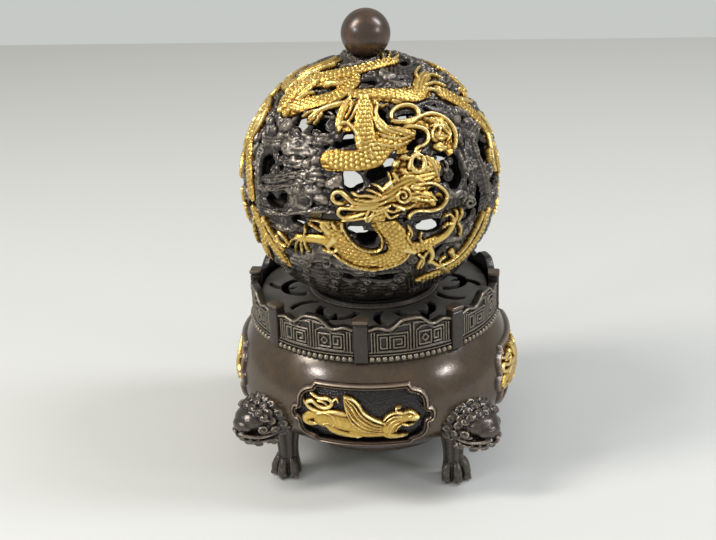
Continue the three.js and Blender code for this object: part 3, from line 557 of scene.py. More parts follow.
def step_up(value, width):
    """Smooth rise from 0 to 1 while value goes from 0 to width."""
    t = np.clip(value / width, 0, 1)
    return t * t * (3 - 2 * t)


plate = np.array([[0, 0], [4, 0], [4, 2], [0, 2]])
print("middle of a 4 by 2 plate:", depth_inside(np.array([2.0]), np.array([1.0]), plate)[0], "mm inside")

# %% Outline of a cartouche, and the belly of the bowl
def cartouche_outline(n=7):
    """Barbed outline of a cartouche: flat top and foot, stepped lobes, pointed
    ends. One quarter is drawn with two curves and mirrored."""
    t = np.linspace(0, 1, n)[:, None]
    quad = lambda a, b, c: (1 - t) ** 2 * a + 2 * t * (1 - t) * b + t ** 2 * c
    notch = np.array([CART_FLAT + 1.6, CART_H - 2.2])
    lobe = np.array([CART_W - 3.0, 4.0])
    one = quad(notch, np.array([lobe[0] + 0.2, CART_H - 3.6]), lobe)
    two = quad(lobe, np.array([CART_W - 0.1, 3.6]), np.array([CART_W, 0.0]))
    right = np.concatenate([[[CART_FLAT, CART_H]], one[:-1], two])
    right = np.concatenate([right, right[-2::-1] * [1, -1]])
    return np.concatenate([right, right[::-1] * [-1, 1]])


CARTOUCHE = cartouche_outline()
FIELD_PRESS, FRAME_W = 1.5, 2.8  # depth of the field, width of the moulding
print("cartouche outline:", len(CARTOUCHE), "points")


def belly(z, grow=0.0):
    """Radius of the bowl's outer surface at a height: two half ellipses that
    meet at the belly line."""
    semi = np.where(z > BELLY_Z, BELLY_RISE, BELLY_DROP) + grow
    return (BELLY_R + grow) * np.sqrt(np.clip(1 - ((z - BELLY_Z) / semi) ** 2, 0, None))


def cartouche_depth(angle, r, z):
    """Distance inside the nearest of the four cartouches, on the outside only."""
    local = (angle + np.pi / 4) % (np.pi / 2) - np.pi / 4
    depth = depth_inside(r * np.sin(local), z - CART_Z, CARTOUCHE)
    return np.where(r > 50, depth, -9.0)


# %% Make the bowl
def make_bowl():
    """Outer wall, shoulder, neck, rim and inner wall as one closed profile."""
    share = 0.5 - 0.5 * np.cos(np.linspace(0.16, 1, 84) * np.pi)
    z = BASE_Z + (SHOULDER_Z - BASE_Z) * share
    outer = np.stack([belly(z), z], 1)
    foot = outer[0, 0]
    zi = np.linspace(SHOULDER_Z - BOWL_WALL - 2, BASE_Z + BOWL_WALL + 0.4, 26)
    inner = np.stack([belly(zi, -BOWL_WALL), zi], 1)
    neck = NECK_R - NECK_WALL
    rim = [[outer[-1, 0] - 0.4, SHOULDER_Z], [NECK_R + 0.3, SHOULDER_Z], [NECK_R, SHOULDER_Z + 0.4],
           [NECK_R, RIM_Z - 0.8], [NECK_R - 0.8, RIM_Z], [neck + 0.4, RIM_Z], [neck, RIM_Z - 0.4],
           [neck, SHOULDER_Z - BOWL_WALL]]
    base = [[0, BASE_Z], [foot * 0.5, BASE_Z], [foot - 1.2, BASE_Z]]
    profile = base + outer.tolist() + rim + inner.tolist() + [[0, BASE_Z + BOWL_WALL]]

    def press(a, r, z):
        return -FIELD_PRESS * step_up(cartouche_depth(a, r, z) - 1.6, 0.6)

    def punched(a, r, z):
        return step_up(cartouche_depth(a, r, z) - 1.3, 0.3)

    piece = turned_piece("bowl_body", profile, 512, press,
                         {"ground": punched, "relief": lambda a, r, z: 0.5 + 0 * a})
    print("bowl", len(piece.data.polygons), "faces")
    return dress(piece, "base", "bronze", bowl_bronze, nodes=["bowl"])


make_bowl()

# %% [markdown]
# ## Cartouche frames and beasts
# Each frame is a double moulding soldered round its field: its height is a sum
# of two ridges over the distance to the outline. The gilt beast inside is drawn
# with strokes like the dragons: body, wing, paws, and a tail in an S.

# %% Make a cartouche frame
def on_belly(x, y, height):
    """Places of a cartouche, sideways and up from its middle, on the bowl."""
    r = belly(CART_Z + y, height)
    return np.stack([x, -np.sqrt(r ** 2 - x ** 2), CART_Z + y], -1)


def make_frame():
    """Ring of moulding: an outer ridge, a groove and a lower ridge."""
    x, y = grid(-CART_W, CART_W, -CART_H, CART_H, 0.33)
    t = depth_inside(x, y, CARTOUCHE)
    ridge = lambda at, wide: np.exp(-((t - at) / wide) ** 2)
    height = 0.3 + 1.55 * ridge(0.9, 0.62) + 1.1 * ridge(2.15, 0.3)
    return sheet("cartouche_moulding_front", x, y, np.minimum(t, FRAME_W - t), height,
                 on_belly, lambda px, py: on_belly(px, py, -1.0), 0.2, 1.9, 60)


print("middle of the front field on the belly:", np.round(on_belly(0.0, 0.0, 0.0), 2))

# %% Draw the beast
# sideways and up from the middle of the cartouche, in mm
BEAST = read_strokes("""\
bulge 4.2 4 2.4: -17.6 -1.2, -12.4 -1.4, -7 -2.4
bulge 3.4 3.8 1.9: -8 -2.6, -1 -4.4, 6 -5, 11 -4.6
bulge 1.6 1.8 1.8: -4.6 -7.2, 1.6 -7.9, 9.4 -7.6
rib 2.4 1.3 2.2: -17.8 -0.6, -21.4 0.1, -24.8 -1.6, -25.6 -3.3, -24 -4.4, -20.4 -4
rib 0.6 0.4 2.6: -21.6 -3.9, -22.8 -3.5, -23.6 -2.6
rib 2.4 1.3 2.3: -15.4 -4.2, -11 -7, -5.6 -8.4, -0.4 -8.7
rib 0.7 0.5 2.7: -2.4 -9.4, -0.2 -8.6 | 17.8 -2.6, 20.2 -3.6, 22.8 -3
rib 0.6 0.4 3: -20.2 1.2, -16.2 2.2, -12.6 0.8, -11.6 -2.2, -13.4 -4.4
rib 0.5 0.4 2.8: -17.6 -3.6, -14.6 -2.4, -12.2 -4 | 17.4 -9.8, 19.2 -8.6
rib 0.5 0.4 2.5: -10.2 0.6, -9 -2.6, -9.6 -5
rib 0.5 0.4 2.4: -8.2 0.4, -7 -2.4, -7.4 -4.6
rib 1.2 0.8 2.4: -6.4 2, -13.2 2.6, -18.7 1.8, -23.4 3.2, -24.6 5.2, -22 6.3, -18.9 4.5, -15.4 4.2,
  -12.9 6.3, -14.6 8.2, -18.9 8.1, -22.8 9.8
rib 0.8 0.5 2.2: -19.6 6.9, -16.6 6.6, -14.6 5
rib 0.7 0.4 2: -23.2 2.8, -25.4 4.6, -26.2 6.6
rib 0.6 0.4 2: -12.9 7.2, -10.8 8.6, -10 6.6
plume 1.2 4.6 2.2: -6.9 9.2, -4.6 5.2, -1.6 1.2, 4.4 -3.2
plume 3.4 2.6 2.1: -2.2 -1.4, 3.2 -4.2, 9.6 -4.6
rib 0.7 0.6 3.1: -7.6 10, -3.9 9.1, -1.1 6.8, 1 3.5, 3.9 1.1, 7.6 -0.8, 10.6 -1.8
rib 0.5 0.45 2.9: -6.2 9.2, -2.7 6.2, -0.7 2.9, 2 0.4, 5.6 -2, 9.4 -3.2
rib 0.5 0.45 2.8: -6.8 8.2, -4.2 5.2, -2.2 1.9, 0.6 -0.9, 4.6 -3.3, 9 -4.4
rib 0.5 0.45 2.7: -6.9 6.4, -5.2 3, -3.2 -0.1, 0.2 -3, 4.2 -4.8, 8.8 -5.6
rib 0.5 0.4 2.7: -7.4 9.4, -6.9 5.6, -5.4 1.2, -3.4 -2.2, 0.6 -5.2, 5.2 -6.3, 9.4 -6.6
bulge 3.8 3.4 2.3: 11.2 -5, 13.6 -2.6, 16 -0.4
bulge 2.9 2 2.6: 17 0.4, 20.6 0.4, 23.2 -0.4
rib 0.6 0.5 3: 18.4 2.4, 14.8 2.9, 11.6 1.6, 9.6 -0.6
rib 0.55 0.45 3.1: 17.8 1.2, 14.2 1.2, 11.4 -0.4, 10.2 -2.6 | 17.2 0, 14.2 -0.6, 12 -2.6, 11.2 -4.8 |
  17 -1.4, 14.8 -2.4, 13.2 -4.6, 12.6 -6.6
rib 0.55 0.45 3: 17.4 -2.8, 15.8 -4, 14.8 -6.2
rib 0.7 0.5 3.3: 18.2 2.6, 21.2 2.9, 23.8 1.4
bulge 0.6 0.6 3.5: 20.6 1, 21.3 0.9
bulge 1.3 1.1 3: 22.4 -0.1, 24.4 -0.5
rib 0.7 0.4 2.6: 15.6 3.2, 15.2 4.8, 17.2 5
rib 1.9 1.1 2.3: 12.4 -6.4, 12 -8.6, 15 -9.6, 19.4 -9
rib 1.4 1 2: 8.8 -6.6, 10.4 -8.6, 12.6 -10.4""")


print("beast:", len(BEAST), "strokes")
BEAST_SHARE, BEAST_SINK, BEAST_BACK = 0.72, 0.6, -1.9  # relief left, and how deep it lies


def make_beast():
    """The beast's strokes on a flat map that is laid on the belly afterwards."""
    x, y = grid(-27.5, 26.5, -14.4, 12.5, 0.26)
    flat = np.stack([x.ravel(), y.ravel(), np.zeros(x.size)], 1)
    route = lambda places: smooth_route([(px, py, 0.0) for px, py in places], 0.6)
    height, _, inside = draw(flat, np.array([0, 0, 1.0]), BEAST, route)
    height = height * BEAST_SHARE - BEAST_SINK
    return sheet("winged_beast_front", x, y, inside.reshape(x.shape), height.reshape(x.shape),
                 on_belly, lambda px, py: on_belly(px, py, BEAST_BACK), -0.4, 1.5, 55)


# %% Set the frames and the beasts round the bowl
QUARTERS = ["front", "right", "back", "left"]
frame_front, beast_front = make_frame(), make_beast()
for i, side in enumerate(QUARTERS):
    moulding = frame_front if i == 0 else turned_copy(frame_front, f"cartouche_moulding_{side}", 90 * i)
    beast = beast_front if i == 0 else turned_copy(beast_front, f"winged_beast_{side}", 90 * i)
    dress(moulding, "base", "bronze", frame_bronze, nodes=[f"cartouche_frame_{side}"])
    dress(beast, "base", "gilt_bronze", gilding, nodes=[f"gilt_beast_{side}"])
print("frame and beast", len(frame_front.data.polygons), len(beast_front.data.polygons), "faces")

# %% [markdown]
# ## The openwork ball
# The ball is two pierced shells that meet at the equator. The wax was a hollow
# ball with clouds and dragons worked up in relief, and every place between them
# was cut away. The pattern is drawn once, in degrees of longitude and latitude,
# and comes three times round the ball.

# %% Lay out the openings of the ball
# openings: longitude, latitude, width and height in mm, tilt in degrees
HOLES = read_rows("""\
-48 16 9 15 0, -42 20 9 13 0, -41 3.4 13 5.5 -20, -34 5 8 9 -40, -28 38 6.5 4.5 -30, -34 40 6 4 30,
-16 43 17 11 30, -15 31 3 3 0, -8.4 32 6 3.2 0, -2.5 34 9 7 -45, -1.5 45 4.5 8 0, -4.4 54 7 4 30,
22 49 8 3.6 0, 14 41 5 9 -25, 14 46 5 4 0, 29 41.8 18 5.5 6, 50 44 13 4.5 -15, 28 30 7 4 15,
33 33 4.5 7 0, 14.5 25 11 5 40, 11 20 13 7.5 35, 41 23.5 6 3.5 0, -1.5 16.6 9 9 30, -3.4 5.4 5.4 3.4 0,
0 -2 5.5 5 0, 30 -4.4 12 6.5 -10, 19.5 -0.7 5 2.5 0, 35 6 5 3 0, -25 -2 6 4 -30, 27 23 3.6 6 0,
45 15.6 13 15 0, 4 -8 10.5 7.5 0, -8.5 10 6.5 3.4 0, -17 6 13 3.4 -8, -17 -1.5 4.5 3 -30,
-18 -5.5 10 4 -20, -30 -17 10 3.5 0, 41 -19 12 6 10, 52 -5 11 5 15, -29 56 15 6 15, 6 62 9 5 30,
-10 58 8 4 45, 40 62 9 4 -20, 24 13 3 4 20, 31 9 9 4 15, 36 4 3.5 6 0, 58 30 5 11 10, 56 8 4.5 8 0,
-52 35 5 9 20, 12 -31 14 4 0, -50 -33 10 5 0, 0 74 7 3.5 20, -45 72 7 3.5 0, 52 -33 8 4 0,
-8 -30 8 3.5 -20""")
# openings at one place only: the clouds leave them free too, because the real
# ball lets the light through there, in at the back and out at the front
CLEAR_HOLES = read_rows("""\
-32.5 39.5 12 5 -45, 11.5 21.5 13 7 35, -1.8 17 8 10 20, -26.6 -2.4 7 4 -20, -0.5 -3.4 7 7 0,
31 -4.6 14 7 -12, -4.1 4.6 5 3 0, 40 23 7 4.5 0, -137 14 12 10 0, -158 1.5 9 6 0, -165 26 10 8 0,
174 21 9 7 0, 160 16 11 7 0, 144 22 9 7 0, 147 -4 9 7 0, 136 33 9 6 0, 177 -9 11 8 0,
-163.5 -17.5 12 10 0, -109 -3 8 9 0, -108 -19 9 7 0, -124 -33 9 6 0, -158 -34 9 6 0, -163 -44.5 12 7 0,
147 -41 14 9 0, 163 -40 9 6 0, 136 -12 8 6 0, 72 48 7 3.5 0""")
print("openings:", len(HOLES), "and", len(CLEAR_HOLES), "clear ones")

# %% Draw the gilt dragons and tails
# places are longitude and latitude in degrees, half widths and heights are in mm
MANE = read_strokes("""\
ground 4.6 5.2 0.6: 18.7 21.3, 24 13.5, 30.8 16.6, 34.9 17.6
ground 3.2 4.6 0.6: -2.1 6.8, 5.2 6.8, 11.8 8.9, 18.5 10
ground 2.4 2.6 0.6: -1.4 2.6, 6.7 3.4
lock 4.4 4 1.7: 11 9, 17 12.2, 23.2 14.4, 27.8 15.4
lock 2.4 2 2.6: 17.6 22.7, 19.1 23.7
ground 4 3.4 0.6: 12.7 10.5, 7.7 6.7, 5.9 2.6
ground 3.4 3 0.6: 21.8 8, 28.8 7, 35.2 5.9
lock 1.8 1.4 2.6: 16.7 19.1, 18.2 16.5
lock 1.8 1.4 2.7: 26.2 16.5, 29.5 14.3 | 23.9 12.7, 29.2 11.9
lock 1.7 1.4 2.8: 25 20.7, 27.4 18.7
lock 1.9 1.5 2.7: 31.1 20.6, 33.6 18.6
lock 2 1.4 2.6: 12.9 13.7, 15.6 16
lock 1.6 1.3 2.6: 16.7 6.1, 19.9 4.1
rib 0.9 0.6 2.4: 13.6 10.5, 9.4 9.1, 4.5 8.9, -0.4 9.7 | 12 12.2, 9.6 14.7, 7.2 15.7
rib 0.9 0.6 2.3: 12.6 8.1, 7.7 6.7, 2.8 6.4, -2.1 6.8 | 14.2 6.3, 10 4.9, 6 5.1 | 15.4 13.6, 14.9 17.6,
  14.2 20.1 | 6 5.9, 4.3 1.8, 4.9 -2.6
rib 0.9 0.7 2.3: 7.6 4.2, 5 0, 0.9 -2.5, -0.1 -6.1
rib 0.9 0.6 2.2: 11.7 4.8, 14 1.3, 18.2 2.6
rib 0.8 0.6 2.6: 24.4 8.5, 28.8 7, 33.3 6.3
lock 1.2 0.9 2.8: 32.5 8.1, 34.2 6.1
rib 0.7 0.5 2.3: 22.3 -1.4, 20.6 -3.8, 22.3 -6.7
lock 2.2 2 2.7: 21.6 25.5, 23.9 24.9
lock 2 1.8 2.5: 20.4 20.4, 22.5 18.9
lock 3.4 3 2: 22.7 17.7, 29 16.9, 35.3 17.1
lock 2.2 1.5 2.6: 32.9 24.1, 35.2 20.8, 36.2 16.5
rib 1.2 1.2 2.6: 30.5 25.2, 31.5 22.8, 30.6 20.1, 28.3 18.7, 25.9 19.4, 24.8 21.8, 25.6 24.5, 28 25.9,
  30.5 25.2
rib 0.8 0.7 2.4: 30.8 27.3, 26.8 25.4, 24.3 22.4, 23.5 20
lock 3.3 3.3 1.5: 19.4 9.9, 20.2 9.4
rib 0.9 0.7 2.7: 19.5 13.3, 22.2 12.1, 22.9 9.4, 21.4 7.5, 19 7.5, 17.6 9.1, 18 11, 19.5 11.7, 20.9 11,
  21.2 9.8, 20.5 9, 19.6 9.1, 19.2 9.7
lock 2.2 2.7 2.2: 21.8 8.4, 27.1 8.9, 31.5 7.4, 33.2 5
rib 0.6 0.6 2.7: 25.1 10.9, 29 9.5, 33.4 7.9
rib 0.9 0.8 2.6: 24 13.5, 28.5 13.7, 33.2 13.3, 37.2 10.9, 39.8 7.5, 39.1 4.7, 35.9 2.3, 31.2 2, 25.4 2.9,
  22.4 1.6, 21.9 -0.4, 23.6 -2.9, 25.7 -1.9
rib 0.8 0.6 2.2: 15 7.1, 18.3 5.1, 22 4.7, 25.2 6.3
rib 0.8 0.6 2: 10.1 6.2, 14.9 3.7, 19.1 4.6
rib 1.3 0.9 2.1: 9.3 7.9, 4.4 7.6, -0.5 8.1, -3.7 10.5, -6.3 12.4, -8.8 11.9, -9.7 9.8, -8 7.9, -4.6 7.6
rib 1 0.7 2.3: 10.2 9.4, 5.4 10.9, 1.2 10.9, -1.6 12.5
rib 0.8 0.6 2.4: 11.1 10.6, 7.1 12.8, 4.6 13.3
rib 1 0.8 2.2: 9.3 6.2, 3.6 5.6, -2.1 5.6, -6.3 5.4, -7.2 3.3, -5.2 1.7, -0.6 2.2, 4.3 3.9
rib 0.9 0.7 2.2: 10 3.7, 4.3 1.8, -1.5 0.9, -6 0.4
rib 0.9 0.7 2: 11.2 13, 14.7 15.2, 18.3 17.3
scales 3.4 4.2 1.9: 9 9.9, 8.8 5, 9.8 -1.9""")
RISING = read_strokes("""\
ground 3.2 3.2 0.6: -4.5 52, -4 45, -3 38
lock 1.8 1.6 2: -6 53, -8.5 47.5, -9.6 42.5, -9.2 37.8 | 23.7 50.7, 27.2 49.4
ground 4.4 4.4 0.6: -11.4 25.1, -1.4 25.4, 7.6 26.1, 13.3 29.1
ground 5 5.4 0.6: 6.1 52.7, 6.9 41.3, 6.1 33.6, 13.7 32.4, 22.5 32.5
ground 3 3.6 0.6: -4.5 54.9, 11.9 55.1, 29.4 53.3, 49.2 52.9
ground 5.2 4.6 0.6: 1.4 52.8, 6.5 45.9, 11.5 39.3, 18.1 35.4, 26.6 32.5
ground 3 3 0.6: -2.4 42.3, 2.1 37.9, 5.1 32.7
ground 3.4 2.6 0.6: 30.5 40.4, 40.4 38.1, 46.2 32.5
lock 2.6 1.8 2.2: 10.8 42.9, 14.5 38.3, 20.2 35.7
lock 2 1.6 2.4: 18.6 38, 24.4 35.7, 29.3 34.3
rib 0.8 0.6 2.4: 12.1 35.8, 17.8 33.8, 23.7 33.2, 29.3 34.3 | 10.7 31.7, 16.3 30.5, 22.2 30.9, 27.5 32
rib 0.8 0.6 2.3: -3.8 51.8, -4.2 46.9, -6.5 43.1 | 0.3 49.8, -2.6 44.1, -5.5 40.5
rib 0.7 0.5 2.4: 10.7 51.5, 14 48.4, 19.2 49
lock 2.2 1.8 2.1: 45.2 39.1, 49.7 35.5
rib 0.7 0.6 2.6: 37.9 40.3, 42.8 37.7, 44.8 34.6, 41.8 31.5
ground 3.6 4.2 0.6: 47.1 37.8, 46.8 32.4, 44.4 26.7
knobs 4.2 4.3 1.7: -13.9 25.8, -6.8 25.3, 1.3 25.4, 8.5 26.5, 15.2 29.4
scales 3.8 4.6 1.9: 4.1 53.8, 4.2 45.9, 4.2 38.7, 5.1 31.9, 7.7 27.7
scales 4.2 3.4 1.9: 9.7 30.9, 16.5 32.2, 24.4 31.9
scales 2.4 3.6 1.8: -6 54.9, 9.9 55.7, 26.9 54.1, 39.5 52.1, 52.2 53.5
rib 1 1 2.3: 19.8 41.9, 19.7 44.3, 22.5 46.6, 27.3 47.8, 32.4 47.5, 35.9 45.7, 36.4 43.3, 34.1 41.1,
  30 39.6, 25.4 39.3
rib 1.1 0.9 2.3: 19.3 41, 25.9 40.4, 34.6 41.2, 43 41.9, 49.7 39.2, 53.3 34.3, 52.6 29.4, 49.2 24.9
rib 1 0.8 2.3: 25 37.9, 31.6 37.5, 36.4 35.1, 36.5 31.6, 33.5 29.4, 29 28.4, 27.9 25.6, 29.8 23.3
lock 3 2.4 2.2: 41.5 32, 46.4 30.7
lock 2.4 2 2: 39 27.7, 44.2 26.3
rib 0.8 0.7 2.5: 39.9 29.4, 38.6 31.3, 39.3 33.5, 41.8 35.3, 45.2 35.8, 48.3 34.9, 49.8 32.9, 49.1 30.7,
  46.7 29
lock 2 2 2: 42.1 39.6, 46.5 37, 49.8 32.7
rib 0.7 0.6 2.4: 40.8 36.6, 46.3 34.8, 48.6 29.8
lock 3.6 2.4 1.8: 44.9 52.4, 55.5 58, 72.7 60.4
rib 0.9 0.5 2: 62 59.5, 76.4 58.1, 79.5 54.4 | 55.4 55.4, 66.9 54.5, 72.7 50.7 | 53.1 53.4, 59.2 51.1,
  60.9 46.2 | 53.6 58.3, 59.1 63, 75.3 64.9
rib 1 0.8 2: 12.9 49.4, 11.1 45.7, 12.9 41.9, 15.6 38.7 | -10.8 39.4, -6.7 41.3, -2.2 39.6, 1.2 35.3,
  2.2 31.1""")
ARCHED = read_strokes("""\
ground 4.2 3.2 0.6: -55.7 44.5, -53.2 53.9, -40.4 63.3, -13.7 69.4, 29.1 75
ground 4 3.2 0.6: -47.5 43.9, -32.2 50.1, -16.9 55.6, -7.2 62.8
ground 5 3.4 0.6: -54.3 48, -49.2 53.4, -42.5 60.4, -23.6 63.5, -8.4 65.4
ground 3.4 2.6 0.6: -65.8 54.1, -63.9 61.4, -58.7 68.7, -64.2 76.2
lock 2.4 1.8 1.9: -45.8 51.6, -44.8 56.4, -40.4 60.7
lock 2.2 1.6 1.9: -30.6 60.4, -17.5 61.3, -10.9 62.8
rib 0.8 0.6 2.3: -45.3 48.4, -40.4 52.4, -34.8 54.1 | -29.7 58.1, -21.9 59.8, -13.1 60.3 | -62.7 49.8,
  -63.4 55.9, -58.2 62.3
rib 0.8 0.6 2.2: -58.6 58, -56.6 64.1, -49.5 69.9, -47.4 73.8
rib 0.7 0.5 2.3: -48.1 45.9, -45.4 42.3, -46.7 40.1
scales 4.2 2.6 1.8: -54.8 42.6, -57.9 50.7, -51.4 59.2, -32.5 66.2, -4.7 71.1, 37.2 75.4, 63.5 74.3
scales 3.6 2.8 1.6: -46.9 45.1, -31.8 49.7, -17.5 53.9, -7.9 60.4, -3.9 66.8
rib 1.6 1 2: -9.6 50.7, -18.8 48.3, -25.1 44.9, -28.5 41.3
rib 0.8 0.5 2.2: -24.4 45.9, -29.8 44.4, -33 41.7 | -23.6 44.5, -26.7 40.5, -28.8 39.4 | -21.3 45.2,
  -23 40.9, -24.2 39.4
rib 0.7 0.5 2.2: 39.4 76.2, 61.2 81.7, 54 84.3 | 48.9 76.3, 86.2 79.6, 102.8 81.4 | 52.4 74.8, 78.6 75.6,
  96.3 77.1
lock 2.2 2 1.5: -79.5 59.8, -75.9 66.6, -70 72.9, -79.5 76.4
rib 0.7 0.6 2.2: -72 58.3, -61.5 64.1, -52.5 69.5""")
COLUMN = read_strokes("""\
ground 3.4 3.4 0.6: -77.1 24.5, -65.1 15.8, -59.5 4, -57.2 -3.5
scales 3.6 3.4 1.8: -76.4 25.7, -69.1 19.2, -61.8 10, -58.3 2.1, -57.2 -3.5""")
COILED = read_strokes("""\
ground 4.6 4.6 0.6: -10.8 -2.1, -7.1 -10.1, -0.8 -16.9, 6.9 -20.2, 14.8 -18.7, 18.1 -12.8, 14.7 -5.8,
  10.7 -0.2
scales 4.4 4.6 1.7: -12.5 -0.5, -10.2 -5.6, -5.6 -12, 0.9 -17.4, 6.9 -19.7
scales 4.6 4.4 1.8: 6.9 -19.7, 13.9 -19.1, 18.6 -14.4, 17.2 -7.9, 12.3 -2.1, 9.9 1.5
rib 0.6 0.6 2.2: -14.2 -10.2, -9.6 -16.3, -3 -21.3, 5 -23.6, 12.2 -22.9, 19.4 -20.3, 23.1 -15.6 | -6.5 -1,
  -3.5 -7.1, 0.4 -11.8, 6.2 -13.9, 10 -12.6, 10.5 -8.3, 8.9 -4.5
bulge 2.6 1.6 1.8: -11.5 -10, -17.7 -9.2, -24.1 -9.7, -27.1 -9.8
ground 3.4 2.6 0.6: 19.9 -14.1, 27.1 -14.3, 34.6 -12.9
ground 2.8 2.2 0.6: -12.9 -6.8, -16.3 -4.4, -18.9 -2.9
bulge 2 1.4 2.3: -11.9 -4.9, -14.3 -2.4 | -9.6 -8.4, -12.5 -11.5
rib 0.9 0.5 2.4: -8.4 -3.7, -9.9 -0.3, -8.9 2.4 | -10.9 -3, -13.3 0.3, -13.2 2.5 | -5.9 -4.5, -5.7 -0.9,
  -4.8 1.3
rib 0.8 0.5 2.4: -8.3 -13.1, -12 -14.4, -15.5 -12.8 | 23.3 -11.6, 21.5 -8.5, 22.3 -4.9
bulge 2 1.6 2.4: 20.8 -14.2, 24.5 -15.8
rib 0.8 0.5 2.3: 28.8 -12.6, 26.8 -9.3, 27.6 -6.7 | 26.5 -17.2, 29.9 -21.2, 28.7 -25.6
rib 0.7 0.4 2.1: -24 -9.2, -22.5 -5.7, -22.7 -3 | -26 -9.1, -30.2 -11.4, -33.7 -15.7 | -25.5 -9.5,
  -28.5 -13.5, -29.8 -17.9 | -24.6 -9.8, -26 -14, -25.8 -17.6 | -23.6 -10.1, -23.3 -13.5, -21.8 -15.8
rib 0.8 0.5 2: -14.5 -5.1, -18 -3.3, -20.7 -1.8 | -12.6 -2.2, -16 -0.4, -20.1 -0.4
scales 3.2 2.4 1.8: 20 -15.1, 25.3 -14.4, 30.8 -13.5, 35.6 -12.6
bulge 1.9 1.6 1.9: 34.6 -12.9, 39.5 -11.1, 42.4 -8.1, 43.7 -4.7
rib 0.8 0.5 2.1: 43.7 -4.7, 40.9 -1.4, 37.8 -2 | 43.3 -6.4, 40 -5.6, 37.5 -6.9
rib 0.8 0.5 2.2: 44.3 -4.9, 44.7 -1.4, 42 1.5 | 45.5 -5.6, 47.6 -3, 47 0.2
rib 0.9 0.6 2: 45.5 -6.1, 47.7 -9.5, 47.9 -13.4
bulge 1.6 1 1.8: 32 -15.3, 34.3 -20, 33.5 -23.8
rib 0.8 0.5 1.9: 31.3 -17.2, 28.9 -21, 27.4 -26.5
rib 0.8 0.6 1.8: 21.4 -3, 23.2 -6.9, 21.5 -10.4""")
BANDED = read_strokes("""\
ground 2.4 2.2 0.6: 69.7 -9, 66.7 -17.7, 61.5 -26.6, 53.8 -32.2, 41.5 -33.1, 31.2 -35
scales 2.7 2.3 1.7: 70.7 -8.4, 67.2 -16.9, 61.6 -24.3, 54.1 -30.3, 42.6 -32.8, 30 -34.6
rib 0.6 0.6 2.2: 63.9 -7, 59.2 -14.1, 54.1 -21.6, 47.2 -26.1, 38.1 -28
bulge 1.6 1 1.9: 45.1 -20.8, 47.8 -24.5
bulge 1.4 1 1.9: 49.3 -34.5, 38.9 -27, 33.4 -23.1
rib 0.8 0.5 1.9: 46.2 -32, 39.3 -24.8, 41.9 -22.1""")
TAIL = read_strokes("""\
ground 2.8 2.6 0.6: -55.4 -4.8, -50.8 -12, -44.1 -18.1, -40.3 -26.5
scales 3.2 2.6 1.7: -57.2 -3.5, -52.4 -11.5, -46.1 -18.7, -41.8 -26.4
rib 0.6 0.6 2.2: -48 -4.5, -42.6 -11.5, -37.2 -18.2
rib 0.8 0.5 2: -39.9 -11.8, -38.4 -14.9, -35 -16.1 | -37.9 -9.3, -34.8 -11.5, -33.2 -14.1""")
print("gilt strokes:", len(MANE + RISING + ARCHED + COLUMN + COILED + BANDED + TAIL))

